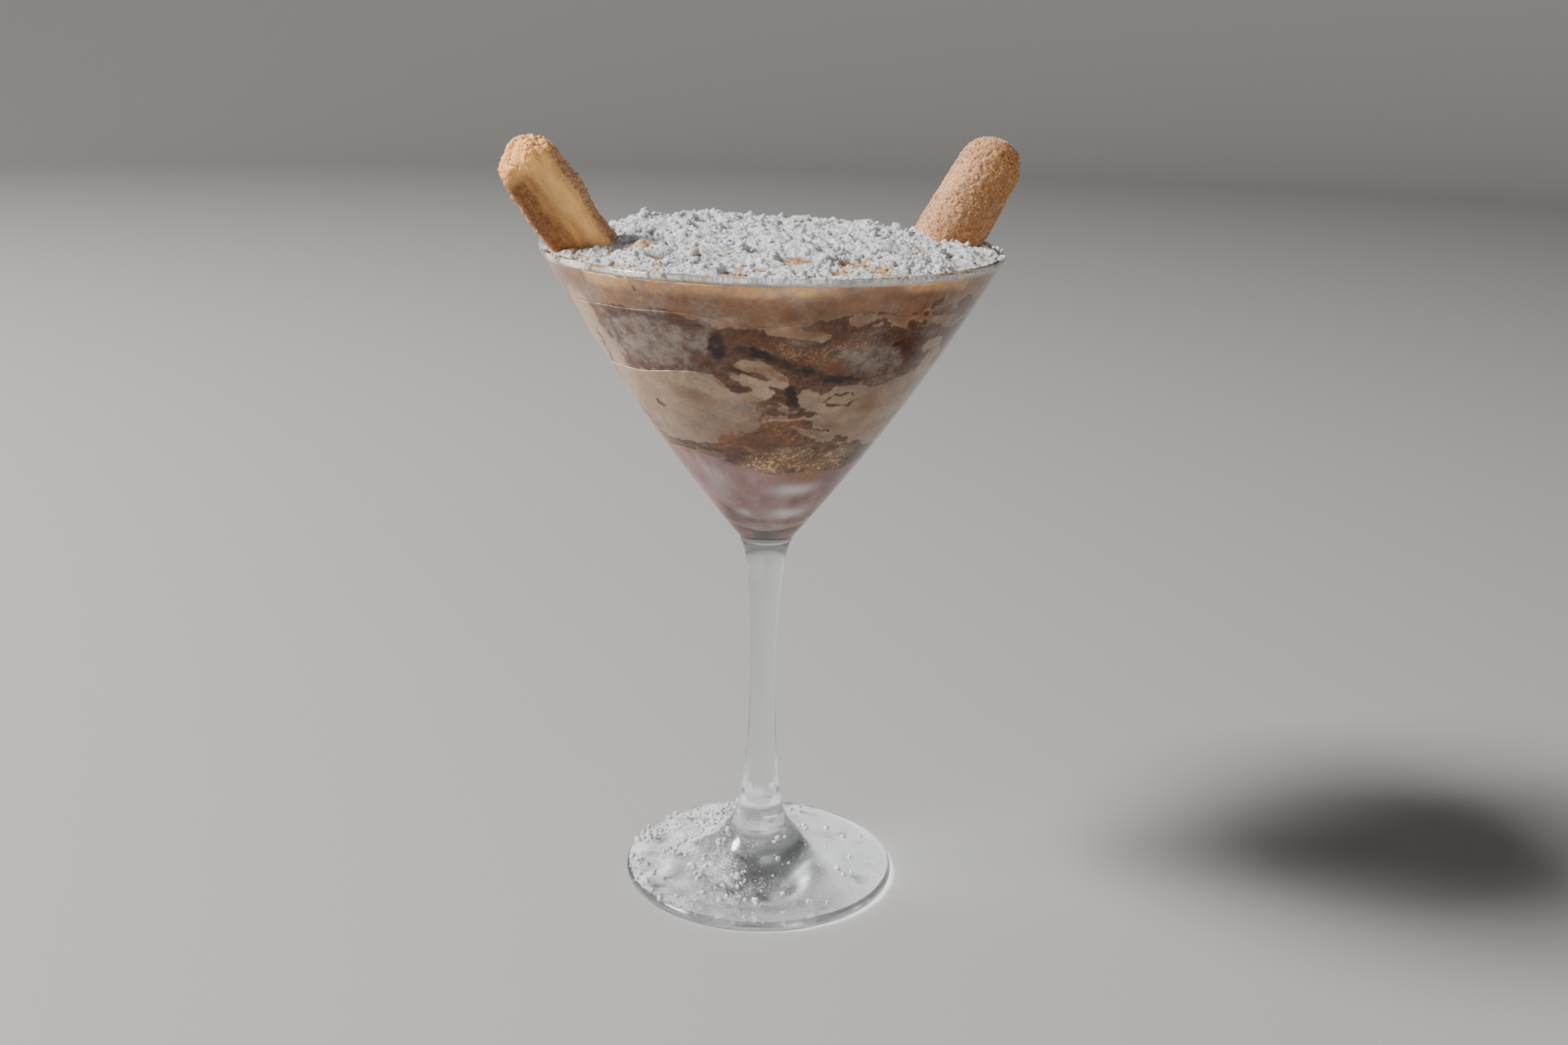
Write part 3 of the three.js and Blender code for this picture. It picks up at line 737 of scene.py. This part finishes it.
def cells(points, size, seed):
    """Distances to the nearest and the next of points strewn through space, about one to a cell."""
    p = np.asarray(points, float) / size + seed
    cell = np.floor(p)
    near, next_near = np.full(p.shape[:-1], 9.0), np.full(p.shape[:-1], 9.0)
    for step in np.ndindex(3, 3, 3):
        at = cell + step - 1
        gap = p - at - np.stack([scramble(at @ way) for way in SCRAMBLING], -1)
        far = np.sqrt((gap**2).sum(-1))
        next_near = np.minimum(next_near, np.maximum(near, far))
        near = np.minimum(near, far)
    return near, next_near


def put_finger(name, width, base, lean, azimuth, turn, shown, brown_side, knobbly):
    """A biscuit that crosses the rim's height at base, with shown of its length above that."""
    foot, cap = shown - FINGER_LENGTH, width / 2
    buried = np.linspace(0, 1, 26)[1:] ** 0.7 * (FINGER_LENGTH - shown - 3)
    bare = FINGER_LENGTH - shown - 3 + (shown + 3) * np.sin(np.linspace(0, pi / 2, 190)[1:-1])
    along = np.concatenate([buried, bare])[:, None]
    a = all_round(AROUND_FINGER)[None]
    from_end = np.minimum(along, FINGER_LENGTH - along)
    rounding = np.sqrt(1 - (1 - np.minimum(1, from_end / cap)) ** 2)
    bulge = 1 + FINGER_UNEVENNESS * unevenness(along / cap + turn, 0)
    c, s = np.cos(a), np.sin(a)
    across = np.sign(c) * np.abs(c) ** 0.8
    dome = np.where(s > 0, np.abs(s) ** 0.95, -(np.abs(s) ** 0.55))
    dip = TROUGH_DEPTH * smooth_step(from_end / cap, 0.3, 2.2)
    trough = np.where(s < 0, np.maximum(0, 1 - (across / TROUGH_SHARE) ** 2), 0)
    x = cap * rounding * bulge * across
    y = FINGER_THICKNESS / 2 * rounding**0.75 * bulge * dome + dip * trough
    points = np.stack([x, y, foot + along + 0 * a], 2)
    around = np.roll(points, -1, 1) - np.roll(points, 1, 1)
    normals = np.cross(around, np.gradient(points, axis=0))
    normals /= np.linalg.norm(normals, axis=2, keepdims=True) + 1e-9
    topside = np.maximum(smooth_step(y, -4.4, -1.8), smooth_step(-across, 0.76, 0.93))
    lumps = rough(points, 6.5, 3, turn)
    near, next_near = cells(points, 1.9, turn)
    cracks = 1 - smooth_step(next_near - near, 0.02, 0.22)
    pits = 1 - smooth_step(cells(points, 1.9, turn + 7)[0], 0.1, 0.32)
    lengthwise = rough(points * (1, 1, 0.12), 0.9, 3, turn + 3)
    tip = smooth_step(points[..., 2] + 1.5 * rough(points, 4, 2, turn + 33), shown - 8.5, shown - 4)
    push = topside * ((0.1 + 0.2 * knobbly) * lumps + knobbly * (0.5 * (0.5 - near) - 0.15 * cracks))
    push += topside * 0.14 * rough(points, 0.7, 2, turn) + (1 - topside) * (0.15 * lumps + 0.09 * lengthwise)
    holes = pits * smooth_step(rough(points, 5, 2, turn + 5), 0.1, 0.5)
    push += -0.6 * holes * (0.25 + 0.75 * np.maximum(tip, topside * knobbly))
    split = tip * knobbly * (1 - smooth_step(np.abs(rough(points, 3.6, 3, turn + 21)), 0.02, 0.13))
    swollen = 0.75 * rough(points, 4.5, 2, turn + 9) + 0.16 * rough(points, 1.6, 2, turn + 39)
    push += tip * (0.15 + 0.85 * knobbly) * swollen - 0.3 * split
    points = points + normals * push[..., None]
    # Painted shade across the underside, darker to the left and lighter on the right lip, kept as the trough
    # mark.
    shade = 0.7 - 0.85 * (across - 0.1) + 0.2 * lengthwise + 0.15 * lumps
    spread = topside * (1 - 0.8 * tip * knobbly**2) * smooth_step(points[..., 2], -2, 2)
    marks = {
        "dome": topside,
        "trough": np.clip(shade, 0, 1) * (1 - 0.7 * tip),
        # painted shade in pits and cracks
        "pit_shade": np.maximum(holes, np.maximum(0.4 * split, 0.5 * cracks * topside * knobbly)),
        # browner from baking and darker with painted shade on one side
        "browned_and_shaded": brown_side * smooth_step(-across + 0.1 * lumps, -0.3, -0.06) + 0.15 * lumps,
        # golden baked colour and painted highlight on the tip
        "golden": 0.9 * knobbly**2 * tip,
        "spread": spread * (0.3 + 0.7 * smooth_step(lumps, -0.3, 0.4)),
    }
    marks = {key: np.concatenate([[0], values.ravel(), [0]]) for key, values in marks.items()}
    outwards = Vector((sin(radians(azimuth)), -cos(radians(azimuth)), 0))
    side = Vector((0, 0, 1)).cross(outwards)
    axis = sin(radians(lean)) * outwards + cos(radians(lean)) * Vector((0, 0, 1))
    turned = Matrix((side, axis.cross(side), axis)).transposed() @ Matrix.Rotation(radians(turn), 3, "Z")
    points = np.concatenate([[(0, 0, foot)], points.reshape(-1, 3), [(0, 0, shown + 0.2)]])
    points = points @ np.array(turned).T + (*base, GLASS_HEIGHT)
    return put_mesh(name, points, loft_faces(len(along), AROUND_FINGER), crust_material, marks)


fingers = {}
for node, sizes in FINGERS.items():
    finger = put_finger(node + "_biscuit", **sizes)
    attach(finger, "root")
    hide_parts(node)
    fingers[node] = finger

# Coarse sugar was strewn on the ladyfingers before baking and sticks to the crust as clear grains.
# One tree strews these and, further on, every other loose grain and lump of sugar.
crystal_material, tree, shader = new_material("clear sugar grains")
tint = remap(tree, noise(tree, 260, 2), 0.35, 0.65)
fill(shader, {
    "Base Color": blend(tree, tint, (0.8, 0.54, 0.34), (0.55, 0.3, 0.14)),
    "Transmission Weight": 0.25,
    "IOR": 1.5,
    "Roughness": remap(tree, noise(tree, 3000, 1), 0.3, 0.7, 0.15, 0.4),
})

tree = strewing = bpy.data.node_groups.new("strewn grains", "GeometryNodeTree")
STREWN_INPUTS = {
    "Geometry": "NodeSocketGeometry",
    "Density": "NodeSocketFloat",
    "Smallest": "NodeSocketFloat",
    "Largest": "NodeSocketFloat",
    "Rarity": "NodeSocketFloat",
    "Ruggedness": "NodeSocketFloat",
    "Seed": "NodeSocketInt",
    "Shape": "NodeSocketObject",
    "Finish": "NodeSocketMaterial",
}
for key, kind in STREWN_INPUTS.items():
    strewing.interface.new_socket(key, in_out="INPUT", socket_type=kind)
strewing.interface.new_socket("Geometry", in_out="OUTPUT", socket_type="NodeSocketGeometry")
given = add_node(tree, "NodeGroupInput").outputs
spread = add_node(tree, "GeometryNodeInputNamedAttribute", {"Name": "spread"}, data_type="FLOAT")
density = times(tree, spread.outputs["Attribute"], given["Density"])
spots = {"Mesh": given["Geometry"], "Density": density, "Seed": given["Seed"]}
strewn = add_node(tree, "GeometryNodeDistributePointsOnFaces", spots)
chance = add_node(tree, "FunctionNodeRandomValue", {"Seed": given["Seed"]}, data_type="FLOAT").outputs[1]
chance = reckon(tree, "POWER", chance, given["Rarity"])
size_range = reckon(tree, "SUBTRACT", given["Largest"], given["Smallest"])
size = reckon(tree, "ADD", given["Smallest"], times(tree, chance, size_range))
stretches = {0: (0.7, 0.7, 0.55), 1: (1.25, 1.25, 1)}
stretch = add_node(tree, "FunctionNodeRandomValue", stretches, data_type="FLOAT_VECTOR").outputs[0]
tumble = add_node(tree, "FunctionNodeRandomValue", {1: (6.3, 6.3, 6.3)}, data_type="FLOAT_VECTOR").outputs[0]
stretch = add_node(tree, "ShaderNodeVectorMath", {0: stretch, "Scale": size}, operation="SCALE").outputs[0]
placing = {
    "Points": strewn.outputs["Points"],
    "Instance": add_node(tree, "GeometryNodeObjectInfo", {"Object": given["Shape"]}).outputs["Geometry"],
    "Rotation": tumble,
    "Scale": stretch,
}
grains = add_node(tree, "GeometryNodeInstanceOnPoints", placing).outputs[0]
grains = add_node(tree, "GeometryNodeRealizeInstances", {0: grains}).outputs[0]
wobble = add_node(tree, "ShaderNodeTexNoise", {"Scale": 900.0, "Detail": 1.0}).outputs["Color"]
wobble = {0: wobble, 1: (0.5, 0.5, 0.5)}
wobble = add_node(tree, "ShaderNodeVectorMath", wobble, operation="SUBTRACT").outputs[0]
push = {0: wobble, "Scale": given["Ruggedness"]}
push = add_node(tree, "ShaderNodeVectorMath", push, operation="SCALE").outputs[0]
grains = add_node(tree, "GeometryNodeSetPosition", {"Geometry": grains, "Offset": push}).outputs[0]
finished = {"Geometry": grains, "Material": given["Finish"]}
add_node(tree, "NodeGroupOutput", {0: add_node(tree, "GeometryNodeSetMaterial", finished).outputs[0]})


def put_shape(name, points, faces):
    """A shape to strew, one unit across, kept out of the scene."""
    mesh = bpy.data.meshes.new(name)
    mesh.from_pydata([tuple(0.5 * x for x in p) for p in points], [], faces)
    return bpy.data.objects.new(name, mesh)


def strew(name, carrier, smooth=True, **settings):
    """Grains over a carrier, thick where its spread mark is high, as one plain mesh."""
    helper = bpy.data.objects.new(name + " helper", carrier.data)
    bpy.context.collection.objects.link(helper)
    modifier = helper.modifiers.new("grains", "NODES")
    modifier.node_group = strewing
    for item in strewing.interface.items_tree:
        if item.name.lower() in settings:
            modifier[item.identifier] = settings[item.name.lower()]
    evaluated = helper.evaluated_get(bpy.context.evaluated_depsgraph_get())
    mesh = bpy.data.meshes.new_from_object(evaluated, preserve_all_data_layers=False)
    helper.modifiers.clear()
    bpy.data.objects.remove(helper)
    mesh.name = name
    mesh.polygons.foreach_set("use_smooth", [smooth] * len(mesh.polygons))
    piece = bpy.data.objects.new(name, mesh)
    bpy.context.collection.objects.link(piece)
    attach(piece, "root")
    return piece


square = [(x, y, z) for z in (-1, 1) for y in (-1, 1) for x in (-1, 1)]
square_faces = [(0, 2, 3, 1), (4, 5, 7, 6), (0, 1, 5, 4), (2, 6, 7, 3), (0, 4, 6, 2), (1, 3, 7, 5)]
crystals = dict(rarity=2.0, ruggedness=0.00008, finish=crystal_material)
crystals["shape"] = put_shape("sugar crystal", square, square_faces)
coarse = {
    "ladyfinger_left": dict(density=1.8e6, smallest=0.0002, largest=0.0007, seed=5),
    "ladyfinger_right": dict(density=6e6, smallest=0.00014, largest=0.00034, seed=6),
}
for node, sizes in coarse.items():
    strew(node + "_sugar_grains", fingers[node], smooth=False, **sizes, **crystals)

# Icing sugar is sieved over the top in a thick uneven blanket that clumps as it takes up moisture.
# Spoon marks and shallow dents leave it thin, and cream shows through there.
CLUMP_SIZE, CLUMP_RISE = 8.5, 1.1
LUMP_SIZE, LUMP_RISE = 3.1, 0.8
CRUMBLES = ((4.2, 1.2), (2.4, 1.3), (1.35, 0.9))
DENT_WANDER, WANDER_SIZE = 1.2, 3.5
CALM_EDGE = 0.6
# Dents and the lump of cream that shows, as place, radius and depth or rise
DENTS = [
    (-20, -22, 3.4, 2.2), (5.5, -38, 3.8, 2.2), (18.5, -39, 3, 2), (31, -27, 3.6, 2.3), (41, 0, 3.2, 2.1),
    (-26, -36, 3.4, 2), (14, 9, 3, 1.8), (-4, -30, 2.6, 1.8), (-8, 34, 4, 2), (24, 36, 4, 2),
    (34, -31, 2.5, 1.8),
]
CREAM_LUMP = (-32, -27, 4, 1.6)
FINGER_HOLLOW = (-43, -29, 7, 1.2)
SKIRT_HEIGHT = 172.9
HEAP_CELLS = 292

sugar_material, tree, shader = new_material("icing sugar")
hollow_shade = mark(tree, "hollow_shade")
powder = noise(tree, 1300, 5, 0.7)
# Painted shade: broad grey patches and fine dark specks stand in for shadows among the sugar's clumps and
# grains.
shade_patches = noise(tree, 240, 3, 0.6)
white = blend(tree, remap(tree, shade_patches, 0.35, 0.65), (0.7, 0.695, 0.7), (0.96, 0.96, 0.965))
white = blend(tree, remap(tree, powder, 0.53, 0.36, 0, 0.9), white, (0.4, 0.39, 0.4))
# Painted shade in the hollows of the sugar, on white and on stained alike.
white = blend(tree, times(tree, hollow_shade, 0.85), white, (0.33, 0.315, 0.315))
thinness = reckon(tree, "ADD", mark(tree, "thin"), remap(tree, powder, 0.3, 0.7, -0.35, 0.35))
stained = blend(tree, remap(tree, powder, 0.4, 0.6), (0.4, 0.23, 0.115), (0.8, 0.62, 0.44))
stained = blend(tree, times(tree, hollow_shade, 0.8), stained, (0.26, 0.13, 0.062))
fill(shader, {
    "Base Color": blend(tree, remap(tree, thinness, 0.35, 0.75), white, stained),
    "Roughness": 0.95,
    "Specular IOR Level": 0.2,
    "Normal": bump(tree, powder, 0.0009, 1),
})

grid = np.linspace(-1, 1, HEAP_CELLS + 1)
gx, gy = np.meshgrid(grid, grid, indexing="ij")
heap_radius = float(inside_radius(SHOULDER)) + 0.1
dx, dy = gx * np.sqrt(1 - gy**2 / 2), gy * np.sqrt(1 - gx**2 / 2)
share = np.hypot(dx, dy)
sx, sy = dx * heap_radius, dy * heap_radius
flat_points = np.stack([sx, sy, 0 * sx], 2)
calm = 1 - CALM_EDGE * share**10
clumps = CLUMP_RISE * rough(flat_points, CLUMP_SIZE, 2, 83)
lumps = LUMP_RISE * unevenness(sx / LUMP_SIZE, sy / LUMP_SIZE)
wx = sx + DENT_WANDER * rough(flat_points, WANDER_SIZE, 2, 101)
wy = sy + DENT_WANDER * rough(flat_points, WANDER_SIZE, 2, 103)
dents = sum(depth * np.exp(-((np.hypot(wx - x, wy - y) / radius) ** 4)) for x, y, radius, depth in DENTS)
cream_lump, finger_hollow = [
    bell(np.hypot(sx - x, sy - y), radius) for x, y, radius, rise in (CREAM_LUMP, FINGER_HOLLOW)
]
bumpy = flat_points + np.stack([rough(flat_points, 3, 2, 61), rough(flat_points, 3, 2, 67), 0 * sx], 2)
crumbly = 0.45 * rough(flat_points, 1.3, 3, 5)
for size, rise in CRUMBLES:
    near, _ = cells(bumpy, size, size)
    clumped = smooth_step(rough(flat_points, 2.2 * size, 2, size + 7), -0.6, 0.35)
    crumbly = crumbly + rise * clumped * (np.sqrt(np.clip(1 - (near / 0.85) ** 2, 0, 1)) - 0.6)
crumbly = crumbly * np.clip(1 - dents / 1.6, 0.3, 1)
cream_level = cream_height(sx, sy, share)
sz = mound_height(sx, sy, share) + (clumps + lumps - dents + crumbly) * calm
sz = sz + CREAM_LUMP[3] * cream_lump - FINGER_HOLLOW[3] * finger_hollow
bottom = cream_level + GAP + 0.3 + 0.25 * rough(flat_points, 1.6, 3, 9)
sz = bottom + np.logaddexp(0, (sz - bottom) / 0.3) * 0.3


def softened(values, reach):
    """The mean over a square of the grid, reach cells each way."""
    size = 2 * reach + 1
    for axis in (0, 1):
        before, after = values.take([0] * reach, axis), values.take([-1] * reach, axis)
        sums = np.cumsum(np.insert(np.concatenate([before, values, after], axis), 0, 0, axis), axis)
        count = sums.shape[axis]
        values = (sums.take(range(size, count), axis) - sums.take(range(count - size), axis)) / size
    return values


# Hollows, lower than the ground around them, get painted shade.
hollow_shade_mark = 0.75 * smooth_step(softened(sz, 3) - sz, -0.03, 0.3)
hollow_shade_mark = np.minimum(hollow_shade_mark + 0.5 * smooth_step(softened(sz, 9) - sz, 0.1, 0.9), 1)
depth = softened(sz, 2) - bottom
thin_mark = 0.95 - depth + 6 * cream_lump - 0.7 * finger_hollow + 0.6 * rough(flat_points, 2.6, 4, 2)
thin_mark = smooth_step(thin_mark, -0.15, 0.75)
n = HEAP_CELLS + 1
index = np.arange(n * n).reshape(n, n)
quads = np.stack([index[:-1, :-1], index[1:, :-1], index[1:, 1:], index[:-1, 1:]], 2).reshape(-1, 4)
border = np.concatenate([index[:-1, 0], index[-1, :-1], index[:0:-1, -1], index[0, :0:-1]])
top_points = np.stack([sx, sy, sz], 2).reshape(-1, 3)
skirt_share = float(inside_radius(SKIRT_HEIGHT) + INTO_WALL) / heap_radius
skirt = top_points[border] * (skirt_share, skirt_share, 0) + (0, 0, SKIRT_HEIGHT)
skirt_index = n * n + np.arange(len(border))
after = np.roll(np.arange(len(border)), -1)
sides = np.stack([border, skirt_index, skirt_index[after], border[after]], 1)
middle = n * n + len(border)
under = np.stack([skirt_index[after], skirt_index, 0 * border + middle], 1)
heap_points = np.concatenate([top_points, skirt, [(0, 0, 174.5)]])
spread = (0.2 + 0.8 * smooth_step(rough(flat_points, 8, 2, 13), -0.1, 0.5)) * (1 - 0.85 * thin_mark)
spread = spread * (1 - 0.8 * hollow_shade_mark) * (share < 0.985)
edged = [
    # the outer ring is partly white sugar and partly a painted highlight of the glass lip
    ("thin", np.where(share > 0.9999, 0.35, thin_mark), 0.7),
    ("hollow_shade", hollow_shade_mark, 0),
    ("spread", spread, 0),
]
marks = {
    key: np.concatenate([on_top.ravel(), np.full(len(border) + 1, below)]) for key, on_top, below in edged
}
heap = put_mesh(
    "icing_sugar_heap", heap_points, quads.tolist() + sides.tolist() + under.tolist(), sugar_material, marks,
)
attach(heap, "root")
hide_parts("icing_sugar")

# Loose sugar lies over the blanket: lumps that fell whole from the sieve, and crumbs broken off them.
# A crumb has the twelve corners and twenty faces of an icosahedron, and a lump four times the faces.
ratio = (1 + 5**0.5) / 2
twelve = [(-1, ratio, 0), (1, ratio, 0), (-1, -ratio, 0), (1, -ratio, 0)]
twelve += [(z, x, y) for x, y, z in twelve] + [(y, z, x) for x, y, z in twelve]
twelve = [Vector(p).normalized() for p in twelve]
twenty = [
    (i, j, k) if twelve[j].cross(twelve[k]).dot(twelve[i]) > 0 else (i, k, j)
    for i, j, k in combinations(range(12), 3)
    if max((twelve[a] - twelve[b]).length for a, b in ((i, j), (j, k), (i, k))) < 1.1
]
crumb = put_shape("sugar crumb", twelve, twenty)
halfway = {}
lump_points = list(twelve)
lump_faces = []


def between(a, b):
    key = (min(a, b), max(a, b))
    if key not in halfway:
        halfway[key] = len(lump_points)
        lump_points.append((lump_points[a] + lump_points[b]).normalized())
    return halfway[key]


for i, j, k in twenty:
    ij, jk, ik = between(i, j), between(j, k), between(i, k)
    lump_faces += [(i, ij, ik), (ij, j, jk), (ik, jk, k), (ij, jk, ik)]
lump = put_shape("sugar lump", lump_points, lump_faces)
strew(
    "sugar_lumps", heap, density=60000.0, smallest=0.001, largest=0.0034, rarity=2.6, ruggedness=0.0012,
    seed=21, shape=lump, finish=sugar_material,
)
strew(
    "sugar_crumbs", heap, density=1500000.0, smallest=0.0003, largest=0.0016, rarity=3.4, ruggedness=0.0008,
    seed=22, shape=crumb, finish=sugar_material,
)

# Sugar that missed the bowl lies on the rim, most of it at the two sides and along the front.
# It is the same sieved sugar, in loose crumbs that the damp glass holds.
RIM_DUST = [
    (-100, 30, 1), (-55, 14, 0.5), (-20, 12, 0.7), (20, 16, 0.5), (55, 12, 0.6), (95, 26, 1), (160, 50, 0.3),
]
SUGARED_RIM, SUGARED_HEIGHT = (57.6, 59), 175.05
RIM_SEGMENTS = 720
angles = all_round(RIM_SEGMENTS)
rim_points = np.concatenate([ringed(r, SUGARED_HEIGHT, angles) for r in SUGARED_RIM])
azimuth = azimuth_of(np.cos(angles), np.sin(angles))
spread = sum(much * bell(apart(azimuth, at), width) for at, width, much in RIM_DUST)
spread = spread * smooth_step(rough(rim_points[:RIM_SEGMENTS], 5, 3, 3), -0.2, 0.5)
rim_faces = band_faces(2, RIM_SEGMENTS).tolist()
rim = put_mesh("rim", rim_points, rim_faces, None, {"spread": np.tile(spread, 2)})
strew(
    "rim_sugar", rim, density=4.5e6, smallest=0.00025, largest=0.0011, rarity=2.2, ruggedness=0.0003,
    seed=31, shape=crumb, finish=sugar_material,
)
bpy.data.objects.remove(rim)

# The foot caught sugar too, thick on the left and behind, sparse on the right.
# The finest of it is a haze on the glass, with loose grains in it.
DUST_SEGMENTS, DUST_RINGS = 256, 60
DUST_START, DUST_END = 9.4, 36.6
HAZE_TOP, HAZE_UNDERSIDE = 0.1, 0.03
dust_r = np.linspace(DUST_START, DUST_END, DUST_RINGS)
foot_curve = stem_curve[:40]
order = np.argsort(foot_curve[:, 0])
dust_z = np.interp(dust_r, foot_curve[order, 0], foot_curve[order, 1])
angles = all_round(DUST_SEGMENTS)
leftness = 0.22 + 0.78 * bell(apart(azimuth_of(np.cos(angles), np.sin(angles)), -110), 75)
upper_sheet, under_sheet = [
    ringed(dust_r[:, None], dust_z[:, None] + lift, angles).reshape(-1, 3)
    for lift in (HAZE_TOP, HAZE_UNDERSIDE)
]
sheet_faces = band_faces(DUST_RINGS, DUST_SEGMENTS)
j = np.arange(DUST_SEGMENTS)
k = (j + 1) % DUST_SEGMENTS
sheet_size = len(upper_sheet)
inner_edge = np.stack([j, k, sheet_size + k, sheet_size + j], 1)
outer_edge = (inner_edge + sheet_size - DUST_SEGMENTS)[:, ::-1]
haze_faces = np.concatenate([sheet_faces, sheet_size + sheet_faces[:, ::-1], inner_edge, outer_edge])
patchiness = smooth_step(rough(upper_sheet, 7, 4, 3), -0.5, 0.7)
haze = np.tile(leftness, DUST_RINGS) * (0.3 + 0.7 * patchiness)

dust_material, tree, shader = new_material("haze of icing sugar")
motes = noise(tree, 2400, 3, 0.7)
cover = reckon(tree, "ADD", motes, times(tree, mark(tree, "haze"), 0.45))
fill(shader, {
    "Base Color": blend(tree, remap(tree, motes, 0.4, 0.6), (0.78, 0.77, 0.75), (0.88, 0.87, 0.86)),
    "Roughness": 0.95,
    "Alpha": remap(tree, cover, 0.6, 1, 0, 0.75),
})
sheets = np.concatenate([upper_sheet, under_sheet])
dust = put_mesh("foot_haze", sheets, haze_faces.tolist(), dust_material, {"haze": np.tile(haze, 2)})
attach(dust, "root")
spread = np.tile(leftness**1.6, DUST_RINGS) * smooth_step(rough(upper_sheet, 5, 3, 8), -0.4, 0.8)
foot = put_mesh("foot", upper_sheet, sheet_faces.tolist(), None, {"spread": spread})
strew(
    "foot_grains", foot, density=2.2e6, smallest=0.0002, largest=0.0024, rarity=4.5, ruggedness=0.0003,
    seed=41, shape=crumb, finish=sugar_material,
)
bpy.data.objects.remove(foot)

# The stage is a plain pale table top, curved up far behind, for a picture without other things.
# The soft studio light comes from the upper left, with a weak fill in front.
STAGE_SEGMENTS, STAGE_LEVEL = 96, -0.05
STAGE_FLAT, STAGE_CURVE = 2400, 900
floor_material, tree, shader = new_material("pale table top")
fill(shader, {"Base Color": (0.34, 0.328, 0.312, 1), "Roughness": 0.75})
stage_profile = [(r, STAGE_LEVEL) for r in (1, 300, STAGE_FLAT)]
stage_profile += [
    (STAGE_FLAT + STAGE_CURVE * sin(t), STAGE_CURVE - STAGE_CURVE * cos(t) + STAGE_LEVEL)
    for t in np.linspace(0.12, pi / 2, 14)
]
stage_points = [ringed(r, z, all_round(STAGE_SEGMENTS)) for r, z in stage_profile]
stage_faces = band_faces(len(stage_profile), STAGE_SEGMENTS).tolist() + [tuple(range(STAGE_SEGMENTS))]
floor = put_mesh("floor", np.concatenate(stage_points), stage_faces, floor_material)


def put_light(name, azimuth, elevation, distance, size, power):
    data = bpy.data.lights.new(name, "AREA")
    data.energy = power
    data.size = size
    light = bpy.data.objects.new(name, data)
    a, e = radians(azimuth), radians(elevation)
    away = Vector((sin(a) * cos(e), -cos(a) * cos(e), sin(e)))
    light.location = Vector((0, 0, 0.15)) + distance * away
    light.rotation_euler = away.to_track_quat("Z", "Y").to_euler()
    bpy.context.collection.objects.link(light)


put_light("key", azimuth=-84, elevation=40, distance=2.4, size=0.6, power=156)
put_light("fill", azimuth=20, elevation=16, distance=2, size=1.2, power=13)
world = bpy.data.worlds.new("studio")
world.use_nodes = True
fill(world.node_tree.nodes["Background"], {"Color": (0.95, 0.97, 1, 1), "Strength": 0.06})
bpy.context.scene.world = world
